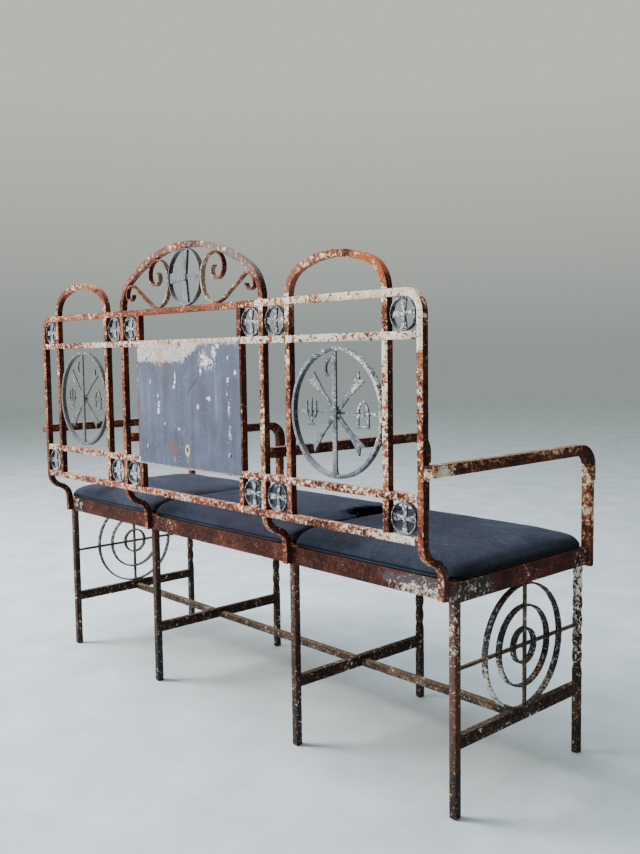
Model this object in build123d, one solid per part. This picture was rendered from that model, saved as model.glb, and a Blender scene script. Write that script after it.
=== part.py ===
from build123d import *
import math
import os

# Three-seat wrought-iron bench with a lattice back and loose seat pads.
# X runs along the bench, +Y points to the rear and Z up; lengths are in millimetres.
# The origin lies on the floor, under the middle of the bench.

# Seat frame
leg_size = 16.0  # square bar
centre_bay = 560.0  # between the two inner side frames
seat_depth = 434.0  # rear face of the rear rail to front face of the front rail
seat_length = 1476.0  # outer face to outer face of the end rails
seat_height = 447.0  # top of the seat rails
rail_height = 38.0  # angle iron, upright leg
rail_lip = 36.0  # angle iron, level leg
rail_wall = 5.0
foot_chamfer = 2.0

# Stretchers
cross_stretcher_z = 132.0  # underside
cross_stretcher_height = 25.0
cross_stretcher_width = 16.0
long_stretcher_size = 16.0

# Twist of the front legs
twist_turns = 1.5
twist_steps = 18
twist_margin = 12.0  # plain bar left above the stretcher and below the rail

# Lattice back
bar = 15.0  # square bar of posts, hoops and rails
back_offset = 70.0  # rear face of the back, behind the rear rail
post_setback = 22.0  # centre of the outer posts, inside the outer face of the end rails
square_width = 68.5  # clear width of the small squares beside the hoops
centre_square_width = 61.0  # and of those in the centre panel
square_height = 61.0  # clear height of the small squares
bottom_rail_rise = 81.5  # underside of the lattice, above the seat rails
corner_radius = 37.0  # centre line, outer bar
post_bend_low = 31.0  # above the seat rails
post_bend_high = 49.0
post_bend_radius = 38.0
post_foot_drop = 36.0  # below the top of the seat rails

# Hoops and the centre arch: small haunch arcs joined by one flat crown arc
hoop_rise = 75.0
hoop_haunch = 60.0
arch_rise = 139.0
arch_haunch = 85.0

# Arms
arm_width = 22.0
arm_thickness = 15.0
arm_rise = 197.0  # underside, above the seat rails
arm_bend_radius = 28.0  # inside of the bend
arm_foot_drop = 42.0  # below the top of the seat rails
arm_end_round = 5.0
cap_width = 20.0
cap_thickness = 7.0
cap_setback = 8.0  # rear end of the cap, in front of the end of the bar
cap_drop = 28.0  # straight part of the cap below the bend

# Seat pads
pad_gap = 4.0  # between neighbouring pads
pad_inset = 8.0  # inside the outer faces of the seat rails
pad_height = 42.0
pad_edge = 14.0  # round of the top edge
pad_edge_steps = 3
pad_corner = 16.0
board_thickness = 9.0
board_inset = 6.0
seat_clearance = 0.3
bearer_width = 40.0

# Ring-and-cross ornaments in the small squares
ring_sag = 0.5  # of the flats of every hammered ring, from a true round
small_ring_wall = 2.5
small_ring_depth = 11.0
small_cross_depth = 4.0
small_cross_waist = 5.0
small_cross_flare = 15.0

# Ornament in the arch
lunette_wall = 3.5
lunette_fit = 0.1  # under the arch
lunette_depth = 12.0
lunette_cross_depth = 6.0
lunette_cross_waist = 9.0
lunette_cross_flare = 25.0
lunette_boss_radius = 8.0
lunette_boss_height = 3.0
scroll_wall = 4.0
scroll_depth = 12.0
scroll_curl = (34.0, 25.0, 18.0)  # quarter turns that tighten towards the eye
scroll_eye = 11.0
scroll_sweep = 50.0  # quarter turn down onto the rail
scroll_lift_radius = 60.0
scroll_lift_angle = 32.0
scroll_back_radius = 22.0  # back of the lower curl, against the haunch of the arch
scroll_tail_radius = 14.0

# Medallions in the two side panels
medallion_wall = 9.0
medallion_gap = 9.25  # above and below, to the rails
medallion_depth = 12.0
medallion_layer = 4.0
staff_width = 11.0
staff_foot_width = 18.0
staff_foot_height = 10.0
crook_width = 22.0
crook_height = 46.0
crook_bar = 6.0
spoke_share = 0.85  # of the radius inside the ring
spoke_waist = 9.0
spoke_flare = 24.0
spoke_notch = 9.0
motif_offset_share = 0.61
motif_width_share = 0.27
motif_height_share = 0.46
motif_bar = 5.0
motif_depth = 3.0

# Plate on the rear of the centre panel
plate_width = 414.0
plate_thickness = 2.0
rivet_radius = 2.5
rivet_edge = 45.0  # above the lower edge of the plate

# Rings under each end of the seat
end_ring_width = 14.0
end_ring_wall = 5.0
inner_ring_wall = 4.0
middle_ring_diameter = 164.0
inner_ring_diameter = 73.0
end_rod = 6.0
rod_fit = 0.1  # on each side, where a rod passes through a ring
end_ring_setback = 7.0  # middle of the ribbons, inside the outer face of the end rail



def crown_radius(half_span, rise, haunch):
    """Radius of the crown arc that joins two haunch arcs over a span."""
    return ((half_span - haunch) ** 2 + rise**2 - haunch**2) / (2 * (rise - haunch))


# Places that follow from the sizes above
rail_bottom = seat_height - rail_height
lip_bottom = seat_height - rail_wall
arm_underside = seat_height + arm_rise
front_reach = seat_depth + arm_thickness + cap_thickness
back_reach = back_offset + plate_thickness
rail_back_y = (front_reach - back_reach) / 2
rail_front_y = rail_back_y - seat_depth
leg_back_y = rail_back_y - rail_wall  # rear face of the rear legs
leg_front_y = rail_front_y + rail_wall  # front face of the front legs
half_length = seat_length / 2
end_leg_x = half_length - rail_wall - leg_size / 2
inner_frame_x = centre_bay / 2
frame_x = {
    "right_end": -end_leg_x,
    "right_inner": -inner_frame_x,
    "left_inner": inner_frame_x,
    "left_end": end_leg_x,
}
end_ring_x = half_length - end_ring_setback
cross_stretcher_top = cross_stretcher_z + cross_stretcher_height
mid_y = (rail_back_y + rail_front_y) / 2

back_y = rail_back_y + back_offset  # rear face of the lattice
back_mid_y = back_y - bar / 2
back_front_y = back_y - bar
bottom_rail_z = seat_height + bottom_rail_rise
third_rail_z = bottom_rail_z + bar + square_height
outer_post_x = half_length - post_setback
hoop_inner_x = inner_frame_x + bar + square_width
hoop_outer_x = outer_post_x - bar - square_width
hoop_centre_x = (hoop_inner_x + hoop_outer_x) / 2
hoop_half = (hoop_outer_x - hoop_inner_x) / 2
medallion_radius = hoop_half - bar / 2
panel_height = 2 * (medallion_radius + medallion_gap)  # clear height between the two middle rails
second_rail_z = third_rail_z + panel_height + bar
top_rail_z = second_rail_z + square_height + bar
spring_z = top_rail_z + bar / 2  # springing of hoops and arch
arch_crown = crown_radius(inner_frame_x, arch_rise, arch_haunch)
inner_upright_x = inner_frame_x - bar - centre_square_width

back_plane = Plane(origin=(0, back_y, 0), x_dir=(1, 0, 0), z_dir=(0, -1, 0))


def block(low, high):
    """Box between two corners."""
    size = [b - a for a, b in zip(low, high)]
    middle = [(a + b) / 2 for a, b in zip(low, high)]
    return Pos(*middle) * Box(*size)


def bar_along(path, depth, thickness, depth_dir=(0, 1, 0)):
    """Rectangular bar swept along a path; its depth keeps the given direction."""
    start = Plane(origin=path @ 0, x_dir=depth_dir, z_dir=path % 0)
    return sweep(start * Rectangle(depth, thickness), path=path)


def back_slab(face, depth, setback=0.0):
    """Flat outline of the back, extruded forward from its rear plane."""
    return extrude(back_plane.offset(setback) * face, amount=depth)


def back_point(x, z):
    """Point on the centre line of the back's bars."""
    return (x, back_mid_y, z)


# ---------------------------------------------------------------- seat frame


def rear_leg(x):
    """Plain square leg, standing inside the rear rail."""
    leg = block(
        (x - leg_size / 2, leg_back_y - leg_size, 0),
        (x + leg_size / 2, leg_back_y, lip_bottom),
    )
    return chamfer(leg.faces().sort_by(Axis.Z)[0].edges(), foot_chamfer)


def turned_points(x, y, z, reach, first, angle):
    """Four points round the leg's axis, a quarter turn apart."""
    points = []
    for quarter in range(4):
        turn = math.radians(first + 90 * quarter + angle)
        points.append((x + reach * math.cos(turn), y + reach * math.sin(turn), z))
    return points


def twisted_bar(x, y, low_z, high_z):
    """Square bar twisted cold, each side a strip of shallow four-sided facets."""
    rise = (high_z - low_z) / twist_steps
    turn = -360 * twist_turns / twist_steps
    corner = leg_size / math.sqrt(2)
    rings = []
    middles = []
    for step in range(twist_steps + 1):
        rings.append(turned_points(x, y, low_z + step * rise, corner, 45, step * turn))
        half_way = step + 0.5
        height = low_z + half_way * rise
        middles.append(turned_points(x, y, height, leg_size / 2, 90, half_way * turn))
    faces = [Face(Wire.make_polygon(rings[0])), Face(Wire.make_polygon(rings[-1]))]
    for lower, upper, middle in zip(rings, rings[1:], middles):
        for a in range(4):
            b = (a + 1) % 4
            around = [lower[a], lower[b], upper[b], upper[a], lower[a]]
            for first, second in zip(around, around[1:]):
                faces.append(Face(Wire.make_polygon([first, second, middle[a]])))
    return Solid(Shell(faces))


def front_leg(x):
    """Square leg, twisted between the stretcher and the seat rail."""
    y = leg_front_y + leg_size / 2
    twist_low = cross_stretcher_top + twist_margin
    twist_high = rail_bottom - twist_margin
    half = leg_size / 2
    foot = block((x - half, y - half, 0), (x + half, y + half, twist_low))
    foot = chamfer(foot.faces().sort_by(Axis.Z)[0].edges(), foot_chamfer)
    head = block((x - half, y - half, twist_high), (x + half, y + half, lip_bottom))
    return foot + twisted_bar(x, y, twist_low, twist_high) + head


def cross_stretcher(x, notched):
    """Flat bar from rear leg to front leg; the inner ones are notched over the long stretcher."""
    half = cross_stretcher_width / 2
    stretcher = block(
        (x - half, leg_front_y + leg_size, cross_stretcher_z),
        (x + half, leg_back_y - leg_size, cross_stretcher_top),
    )
    if notched:
        side = long_stretcher_size / 2
        top = cross_stretcher_z + long_stretcher_size
        stretcher -= block((x - half, mid_y - side, cross_stretcher_z), (x + half, mid_y + side, top))
    return stretcher


def long_stretcher():
    """Square bar between the end stretchers, through the notches of the inner ones."""
    reach = end_leg_x - cross_stretcher_width / 2
    side = long_stretcher_size / 2
    top = cross_stretcher_z + long_stretcher_size
    return block((-reach, mid_y - side, cross_stretcher_z), (reach, mid_y + side, top))


def long_rail(outer_y, inward):
    """Front or rear seat rail: angle iron with its lip turned inward."""
    walls = sorted((outer_y, outer_y + inward * rail_wall))
    lips = sorted((outer_y, outer_y + inward * rail_lip))
    upright = block((-half_length, walls[0], rail_bottom), (half_length, walls[1], seat_height))
    lip = block((-half_length, lips[0], lip_bottom), (half_length, lips[1], seat_height))
    return upright + lip


def end_rail(side):
    """End seat rail: the same angle iron, coped between the long rails."""
    outer = side * half_length
    walls = sorted((outer, outer - side * rail_wall))
    lips = sorted((outer, outer - side * rail_lip))
    upright = block(
        (walls[0], rail_front_y + rail_wall, rail_bottom),
        (walls[1], rail_back_y - rail_wall, lip_bottom),
    )
    lip = block(
        (lips[0], rail_front_y + rail_lip, lip_bottom),
        (lips[1], rail_back_y - rail_lip, seat_height),
    )
    return upright + lip


def pad_bearer(x):
    """Flat bar across the seat frame, under the edges of two pads."""
    return block(
        (x - bearer_width / 2, rail_front_y + rail_lip, lip_bottom),
        (x + bearer_width / 2, rail_back_y - rail_lip, seat_height),
    )


# ---------------------------------------------------------------- lattice back


def flat_arch(centre_x, half_span, rise, haunch):
    """Three-arc line over two springing points: haunch, crown, haunch."""
    crown = crown_radius(half_span, rise, haunch)
    tilt = math.atan2(crown - rise, half_span - haunch)
    knee_x = half_span - haunch + haunch * math.cos(tilt)
    knee_z = spring_z + haunch * math.sin(tilt)
    left = back_point(centre_x - half_span, spring_z)
    left_knee = back_point(centre_x - knee_x, knee_z)
    right_knee = back_point(centre_x + knee_x, knee_z)
    first = TangentArc(left, left_knee, tangent=(0, 0, 1))
    middle = TangentArc(left_knee, right_knee, tangent=first % 1)
    last = TangentArc(right_knee, back_point(centre_x + half_span, spring_z), tangent=middle % 1)
    return first, middle, last


def hooped_bar(centre_x, half_span, rise, haunch, low_z):
    """Upright, arch and upright bent from one bar."""
    arcs = flat_arch(centre_x, half_span, rise, haunch)
    up = Line(back_point(centre_x - half_span, low_z), arcs[0] @ 0)
    down = Line(arcs[2] @ 1, back_point(centre_x + half_span, low_z))
    return bar_along(Wire([up, *arcs, down]), bar, bar)


def rail_notch(x, z):
    """Front half of a crossing, cut from the rail."""
    return block(
        (x - bar / 2, back_front_y, z - bar / 2), (x + bar / 2, back_mid_y, z + bar / 2)
    )


def upright_notch(x, z):
    """Rear half of a crossing, cut from the upright."""
    return block((x - bar / 2, back_mid_y, z - bar / 2), (x + bar / 2, back_y, z + bar / 2))


def post_foot(x):
    """Lower end of a post, cranked forward onto the rear face of the seat rail."""
    foot_y = rail_back_y + bar / 2
    path = FilletPolyline(
        (x, foot_y, seat_height - post_foot_drop),
        (x, foot_y, seat_height + post_bend_low),
        (x, back_mid_y, seat_height + post_bend_high),
        (x, back_mid_y, bottom_rail_z + bar),
        radius=[post_bend_radius, post_bend_radius],
    )
    return bar_along(path, bar, bar, depth_dir=(1, 0, 0))


upright_x = (-inner_frame_x, inner_frame_x)
hoop_x = (-hoop_outer_x, -hoop_inner_x, hoop_inner_x, hoop_outer_x)
inner_x = (-inner_upright_x, inner_upright_x)


def outer_back_bar():
    """Both outer posts and the top rail, bent from one bar."""
    low = bottom_rail_z + bar
    path = FilletPolyline(
        back_point(-outer_post_x, low),
        back_point(-outer_post_x, top_rail_z),
        back_point(outer_post_x, top_rail_z),
        back_point(outer_post_x, low),
        radius=[corner_radius, corner_radius],
    )
    frame = bar_along(path, bar, bar)
    for x in (-outer_post_x, outer_post_x):
        frame += post_foot(x)
    for x in upright_x + hoop_x:
        frame -= rail_notch(x, top_rail_z)
    return frame


def arched_back_bar():
    """Both inner posts and the centre arch, bent from one bar."""
    frame = hooped_bar(0, inner_frame_x, arch_rise, arch_haunch, bottom_rail_z + bar)
    for x in upright_x:
        frame += post_foot(x)
        for z in (bottom_rail_z, third_rail_z, second_rail_z, top_rail_z):
            frame -= upright_notch(x, z)
    return frame


def hoop(side):
    """Hoop of one side panel, standing on the bottom rail."""
    hooped = hooped_bar(
        side * hoop_centre_x, hoop_half, hoop_rise, hoop_haunch, bottom_rail_z + bar / 2
    )
    for x in (side * hoop_inner_x, side * hoop_outer_x):
        for z in (third_rail_z, second_rail_z, top_rail_z):
            hooped -= upright_notch(x, z)
    return hooped


def inner_upright(x):
    """Upright of the centre panel, between the bottom and top rails."""
    upright = block(
        (x - bar / 2, back_front_y, bottom_rail_z + bar / 2),
        (x + bar / 2, back_y, top_rail_z - bar / 2),
    )
    for z in (third_rail_z, second_rail_z):
        upright -= upright_notch(x, z)
    return upright


def lattice_rail(z, crossings):
    """Level bar between the outer posts, halved over the uprights."""
    reach = outer_post_x - bar / 2
    rail = block((-reach, back_front_y, z - bar / 2), (reach, back_y, z + bar / 2))
    for x in crossings:
        rail -= rail_notch(x, z)
    return rail


# ---------------------------------------------------------------- arms


def arm_path(x, rear_y, lift, low_z):
    """Level run, bend and drop of an arm, lifted off the inside of the bend."""
    level = arm_underside + lift
    drop_y = rail_front_y - lift
    return FilletPolyline(
        (x, rear_y, level), (x, drop_y, level), (x, drop_y, low_z), radius=arm_bend_radius + lift
    )


def arm_bar(x, rear_y):
    """Flat bar from the post, over and down in front of the front rail."""
    path = arm_path(x, rear_y, arm_thickness / 2, seat_height - arm_foot_drop)
    arm = bar_along(path, arm_width, arm_thickness, depth_dir=(1, 0, 0))
    ends = arm.edges().filter_by(Axis.X).group_by(Axis.Z)[0]
    return fillet(ends, arm_end_round)


def arm_cap(x, rear_y):
    """Thinner strip on top of the arm, wrapped round its front bend."""
    low_z = arm_underside - arm_bend_radius - cap_drop
    path = arm_path(x, rear_y - cap_setback, arm_thickness + cap_thickness / 2, low_z)
    return bar_along(path, cap_width, cap_thickness, depth_dir=(1, 0, 0))


# ---------------------------------------------------------------- ornaments


def hammered_round(reach, ring_reach):
    """Round in short flats, as many as keep a ring of that reach within the sag; four face the rails."""
    flats = 4 * math.ceil(math.pi / (4 * math.acos(1 - ring_sag / ring_reach)))
    return RegularPolygon(reach, flats, major_radius=False, rotation=180 / flats)


def hammered_inside(reach, wall):
    """Round inside the wall of a ring; the reach is that of the ring, to its flats."""
    return hammered_round(reach - wall, reach)


def hammered_ring(reach, wall):
    """Ribbon ring worked round over a horn."""
    return hammered_round(reach, reach) - hammered_inside(reach, wall)


def flared_cross(reach, waist, flare, inside):
    """Cross with four arms that widen to the inside of the ring that holds it."""
    arm = Polygon((0, -waist / 2), (reach, -flare / 2), (reach, flare / 2), (0, waist / 2), align=None)
    cross = arm
    for turn in (90, 180, 270):
        cross += Rot(0, 0, turn) * arm
    return cross & inside


def small_ring_places():
    """Centres of the small squares, panel by panel."""
    gap = (bar + square_width) / 2
    centre_gap = (bar + centre_square_width) / 2
    columns = []
    for side in (-1, 1):
        columns.append(side * (outer_post_x - gap))
        columns.append(side * (inner_frame_x + gap))
        columns.append(side * (inner_frame_x - centre_gap))
    rows = (bottom_rail_z + (bar + square_height) / 2, top_rail_z - (bar + square_height) / 2)
    return [(x, z) for z in rows for x in columns]


def small_rings():
    """Ribbon rings, each held between two rails."""
    ribbon = hammered_ring(square_height / 2, small_ring_wall)
    setback = (bar - small_ring_depth) / 2
    return [back_slab(Pos(x, z) * ribbon, small_ring_depth, setback) for x, z in small_ring_places()]


def small_crosses():
    """Flared crosses inside the ribbon rings."""
    reach = square_height / 2 - small_ring_wall
    inside = hammered_inside(square_height / 2, small_ring_wall)
    outline = flared_cross(reach, small_cross_waist, small_cross_flare, inside)
    setback = (bar - small_cross_depth) / 2
    return [back_slab(Pos(x, z) * outline, small_cross_depth, setback) for x, z in small_ring_places()]


lunette_radius = (arch_rise - bar / 2 - lunette_fit) / 2
lunette_z = spring_z + lunette_radius


def lunette_ring():
    """Ribbon ring between the top rail and the crown of the arch."""
    ribbon = hammered_ring(lunette_radius, lunette_wall)
    return back_slab(Pos(0, lunette_z) * ribbon, lunette_depth, (bar - lunette_depth) / 2)


def lunette_cross():
    """Flared cross with a boss at its middle."""
    radius = lunette_radius - lunette_wall
    inside = hammered_inside(lunette_radius, lunette_wall)
    outline = flared_cross(radius, lunette_cross_waist, lunette_cross_flare, inside)
    setback = (bar - lunette_cross_depth) / 2
    cross = back_slab(Pos(0, lunette_z) * outline, lunette_cross_depth, setback)
    boss = back_slab(
        Pos(0, lunette_z) * Circle(lunette_boss_radius), lunette_boss_height, setback - lunette_boss_height
    )
    return cross + boss


def heading_vector(heading):
    """Unit vector at an angle from the level."""
    return (math.cos(math.radians(heading)), math.sin(math.radians(heading)))


def ribbon_line(start, heading, moves):
    """Chain of tangent runs and bends; each move is a length, or a radius and a turn."""
    pieces = []
    for radius, turn in moves:
        if turn == 0:
            along = heading_vector(heading)
            end = (start[0] + radius * along[0], start[1] + radius * along[1])
            pieces.append(Line(start, end))
        else:
            pieces.append(JernArc(start, heading_vector(heading), radius, turn))
            end = pieces[-1] @ 1
            end = (end.X, end.Y)
        start = end
        heading += turn
    return pieces


def upper_curl():
    """From the side of the ring up, against the underside of the arch and round into an eye."""
    start_x = lunette_radius + scroll_wall / 2
    crown = arch_crown - bar / 2 - scroll_wall / 2
    drop = lunette_z - (spring_z + arch_rise - arch_crown)
    first = (crown**2 - start_x**2 - drop**2) / (2 * (start_x + crown))
    moves = [(first, -90)]
    for radius in scroll_curl:
        moves.append((radius, -90))
    moves.append((scroll_eye, -80))
    return ribbon_line((start_x, lunette_z), 90, moves)


def lower_curl():
    """Down from the ring, along the rail, up to the haunch of the arch and round again."""
    start_x = lunette_radius + scroll_wall / 2
    drop = lunette_z - spring_z - scroll_wall / 2 - scroll_sweep
    lift = math.radians(scroll_lift_angle)
    turned = scroll_lift_radius + scroll_back_radius
    # The back of the curl touches the haunch, which fixes the straight run before it.
    beside = start_x + scroll_sweep + turned * math.sin(lift) - (inner_frame_x - arch_haunch)
    above = scroll_wall / 2 + scroll_lift_radius - turned * math.cos(lift)
    reach = arch_haunch - bar / 2 - scroll_wall / 2 - scroll_back_radius
    along = beside * math.cos(lift) + above * math.sin(lift)
    run = math.sqrt(along**2 - beside**2 - above**2 + reach**2) - along
    moves = [
        (drop, 0),
        (scroll_sweep, 90),
        (scroll_lift_radius, scroll_lift_angle),
        (run, 0),
        (scroll_back_radius, -90 - scroll_lift_angle),
        (scroll_tail_radius, -180),
    ]
    return ribbon_line((start_x, lunette_z), -90, moves)


def scroll(side):
    """Forged ribbon with a curl at each end, between the ring and the haunch of the arch."""
    plane = back_plane.offset(bar / 2)
    ribbon = None
    for pieces in (upper_curl(), lower_curl()):
        path = plane * Wire(pieces)
        swept = bar_along(path, scroll_depth, scroll_wall)
        ribbon = swept if ribbon is None else ribbon + swept
    return ribbon if side > 0 else mirror(ribbon, Plane.YZ)


medallion_z = (second_rail_z + third_rail_z) / 2
medallion_setback = (bar - medallion_depth) / 2
medallion_reach = medallion_radius - medallion_wall
medallion_inside = hammered_inside(medallion_radius, medallion_wall)
spoke_reach = spoke_share * medallion_reach
motif_offset = motif_offset_share * medallion_reach
motif_width = motif_width_share * medallion_reach
motif_height = motif_height_share * medallion_reach


def in_medallion(side):
    """Place in the back's plane of a medallion's centre."""
    return Pos(side * hoop_centre_x, medallion_z)


def medallion_ring(side):
    """Ring between the legs of a hoop."""
    ring = hammered_ring(medallion_radius, medallion_wall)
    return back_slab(in_medallion(side) * ring, medallion_depth, medallion_setback)


def medallion_staff(side):
    """Upright with a spread foot and a closed crook on its left, the rear layer."""
    reach = medallion_reach
    half = staff_width / 2
    spread = staff_foot_width / 2
    foot_z = -reach + staff_foot_height
    outline = Polygon(
        (-spread, -reach - 1),
        (spread, -reach - 1),
        (half, foot_z),
        (half, reach + 1),
        (-half, reach + 1),
        (-half, foot_z),
        align=None,
    )
    crook_z = reach - crook_height / 2 - staff_foot_height
    bow = Pos(half, crook_z) * SlotOverall(crook_height, 2 * crook_width, rotation=90)
    opening = offset(bow, -crook_bar, kind=Kind.ARC)
    band = (bow - opening) & Pos(half + crook_width / 2, crook_z) * Rectangle(crook_width, crook_height)
    outline = (outline + band) & medallion_inside
    return back_slab(in_medallion(side) * outline, medallion_layer, medallion_setback)


def medallion_spokes(side):
    """Two crossed bars with fishtail ends, the middle layer."""
    half = spoke_waist / 2
    tail = spoke_flare / 2
    arm = Polygon(
        (0, -half),
        (spoke_reach / 2, -half),
        (spoke_reach, -tail),
        (spoke_reach - spoke_notch, 0),
        (spoke_reach, tail),
        (spoke_reach / 2, half),
        (0, half),
        align=None,
    )
    outline = Rot(0, 0, 45) * arm
    for turn in (135, 225, 315):
        outline += Rot(0, 0, turn) * arm
    setback = medallion_setback + medallion_layer
    return back_slab(in_medallion(side) * outline, medallion_layer, setback)


def medallion_rod(side):
    """Level flat from ring to ring, the front layer."""
    outline = Rectangle(2 * medallion_radius, motif_bar) & medallion_inside
    setback = medallion_setback + 2 * medallion_layer
    return back_slab(in_medallion(side) * outline, medallion_layer, setback)


def lancet_motif():
    """Pointed arch outline with a lozenge on a crossbar."""
    half = motif_width / 2
    low = -motif_height / 2
    line = Polyline((-half, 0), (-half, low), (half, low), (half, 0))
    right = TangentArc((half, 0), (0, -low), tangent=(0, 1))
    left = TangentArc((-half, 0), (0, -low), tangent=(0, 1))
    arch = make_face([*line.edges(), right, left])
    frame = arch - offset(arch, -motif_bar, kind=Kind.INTERSECTION)
    lozenge = Rot(0, 0, 45) * Rectangle(2 * motif_bar, 2 * motif_bar)
    return frame + Rectangle(motif_width - motif_bar, motif_bar / 2) + lozenge


def candle_motif():
    """Candlestick with two curved arms and a spread foot."""
    half = motif_width / 2
    top = motif_height / 2
    bowl = Circle(half) - Circle(half - motif_bar)
    arms = bowl & Pos(0, -half / 2) * Rectangle(motif_width, half)
    reach = top - motif_bar
    post = Rectangle(motif_bar, reach, align=(Align.CENTER, Align.MIN))
    for x in (half - motif_bar / 2, motif_bar / 2 - half):
        arms += Pos(x, 0) * post
    stem = Rectangle(motif_bar, motif_height)
    foot = Polygon((-half / 1.5, -top), (half / 1.5, -top), (0, -top + 2 * motif_bar), align=None)
    return arms + stem + foot


def medallion_motifs():
    """Four small cut-outs, two on the rod of each medallion."""
    motifs = []
    for side in (-1, 1):
        for offset_x, outline in ((-motif_offset, lancet_motif()), (motif_offset, candle_motif())):
            place = in_medallion(side) * Pos(offset_x, 0)
            setback = medallion_setback + 2 * medallion_layer - motif_depth
            motifs.append(back_slab(place * outline, motif_depth, setback))
    return motifs


# ---------------------------------------------------------------- plate

plate_low = third_rail_z - bar / 2
plate_high = second_rail_z + bar / 2


def centre_plate():
    """Sheet on the rear of the centre panel, with one empty rivet hole."""
    half = plate_width / 2
    sheet = block((-half, back_y, plate_low), (half, back_y + plate_thickness, plate_high))
    hole = Cylinder(rivet_radius, 2 * bar, rotation=(90, 0, 0))
    return sheet - Pos(0, back_y, plate_low + rivet_edge) * hole


# ---------------------------------------------------------------- ends

end_ring_z = (rail_bottom + cross_stretcher_top) / 2
end_ring_radius = (rail_bottom - cross_stretcher_top) / 2


def end_rod_shapes(side, grow):
    """Crossed square rods under one end: upright to the outside, level to the inside."""
    half = end_rod / 2 + grow
    upright_x = side * (end_ring_x + end_rod / 2)
    level_x = side * (end_ring_x - end_rod / 2)
    upright = block(
        (upright_x - half, mid_y - half, cross_stretcher_top),
        (upright_x + half, mid_y + half, rail_bottom),
    )
    level = block(
        (level_x - half, leg_front_y + leg_size / 2, end_ring_z - half),
        (level_x + half, leg_back_y - leg_size, end_ring_z + half),
    )
    return [upright, level]


def end_rings(side):
    """Three concentric ribbon rings, pierced by the rods."""
    plane = Plane(
        origin=(side * end_ring_x - end_ring_width / 2, mid_y, end_ring_z), z_dir=(1, 0, 0)
    )
    rings = []
    for radius, wall in (
        (end_ring_radius, end_ring_wall),
        (middle_ring_diameter / 2, inner_ring_wall),
        (inner_ring_diameter / 2, inner_ring_wall),
    ):
        ring = extrude(plane * hammered_ring(radius, wall), amount=end_ring_width)
        for hole in end_rod_shapes(side, rod_fit):
            ring -= hole
        rings.append(ring)
    return rings


def end_rods(side):
    """Upright and level rod of one end; the level one is shaped to the twisted leg."""
    upright, level = end_rod_shapes(side, 0)
    return [upright, level - front_leg(side * end_leg_x)]


# ---------------------------------------------------------------- seat pads


def seat_board(low_x, high_x):
    """Plywood board in the underside of a pad."""
    return block(
        (low_x + board_inset, pad_front_y + board_inset, seat_height),
        (high_x - board_inset, pad_back_y - board_inset, seat_height + board_thickness),
    )


def seat_pad(low_x, high_x):
    """Pad with a rounded top edge, wrapped round the edges of its board."""
    width = high_x - low_x
    depth = pad_back_y - pad_front_y
    base = seat_height + seat_clearance
    side_height = pad_height - seat_clearance - pad_edge
    pad = extrude(Pos(0, 0, base) * RectangleRounded(width, depth, pad_corner), amount=side_height)
    for step in range(pad_edge_steps):
        low, high = (math.pi / 2 * end / pad_edge_steps for end in (step, step + 1))
        rise = pad_edge * (math.sin(high) - math.sin(low))
        lean = math.degrees((low + high) / 2)
        pad += extrude(pad.faces().sort_by(Axis.Z)[-1], amount=rise, taper=lean)
    gap = board_inset - seat_clearance
    pocket = block(
        (low_x + gap, pad_front_y + gap, seat_height),
        (high_x - gap, pad_back_y - gap, seat_height + board_thickness + seat_clearance),
    )
    return Pos((low_x + high_x) / 2, (pad_back_y + pad_front_y) / 2, 0) * pad - pocket


pad_front_y = rail_front_y + pad_inset
pad_back_y = rail_back_y - pad_inset
pad_spans = {
    "right": (pad_inset - half_length, -inner_frame_x - pad_gap / 2),
    "centre": (-inner_frame_x + pad_gap / 2, inner_frame_x - pad_gap / 2),
    "left": (inner_frame_x + pad_gap / 2, half_length - pad_inset),
}


# ---------------------------------------------------------------- assembly

os.makedirs("parts", exist_ok=True)


def save(name, shape):
    """Write one node; a list becomes a group of separate solids."""
    solids = shape if isinstance(shape, list) else [shape]
    node = Compound(label=name, children=[Compound(s).solids()[0] for s in solids])
    export_step(node if len(solids) > 1 else node.solids()[0], f"parts/{name}.step")


hands = {"right": -1, "left": 1}
inner_crossings = hoop_x + upright_x + inner_x

for place, x in frame_x.items():
    inner = abs(x) == inner_frame_x
    save(f"rear_leg_{place}", rear_leg(x))
    save(f"front_leg_{place}", front_leg(x))
    save(f"cross_stretcher_{place}", cross_stretcher(x, notched=inner))
    arm_x = x if inner else math.copysign(outer_post_x + bar / 2 + arm_width / 2, x)
    arm_rear_y = back_front_y if inner else back_y
    save(f"arm_bar_{place}", arm_bar(arm_x, arm_rear_y))
    save(f"arm_cap_{place}", arm_cap(arm_x, arm_rear_y))

save("long_stretcher", long_stretcher())
save("rear_seat_rail", long_rail(rail_back_y, -1))
save("front_seat_rail", long_rail(rail_front_y, 1))
save("seat_bearers", [pad_bearer(x) for x in upright_x])

save("outer_back_bar", outer_back_bar())
save("arched_back_bar", arched_back_bar())
save("second_rail", lattice_rail(second_rail_z, inner_crossings))
save("third_rail", lattice_rail(third_rail_z, inner_crossings))
save("bottom_rail", lattice_rail(bottom_rail_z, upright_x))

save("small_rings", small_rings())
save("small_crosses", small_crosses())
save("lunette_ring", lunette_ring())
save("lunette_cross", lunette_cross())
save("scrolls", [scroll(side) for side in hands.values()])
save("medallion_rings", [medallion_ring(side) for side in hands.values()])
save("medallion_rods", [medallion_rod(side) for side in hands.values()])
save("medallion_motifs", medallion_motifs())
save("centre_plate", centre_plate())
save("end_rings", [ring for side in hands.values() for ring in end_rings(side)])
save("end_rods", [rod for side in hands.values() for rod in end_rods(side)])

for hand, side in hands.items():
    save(f"end_rail_{hand}", end_rail(side))
    save(f"hoop_{hand}", hoop(side))
    save(f"inner_upright_{hand}", inner_upright(side * inner_upright_x))
    save(f"medallion_staff_{hand}", medallion_staff(side))
    save(f"medallion_spokes_{hand}", medallion_spokes(side))

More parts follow.
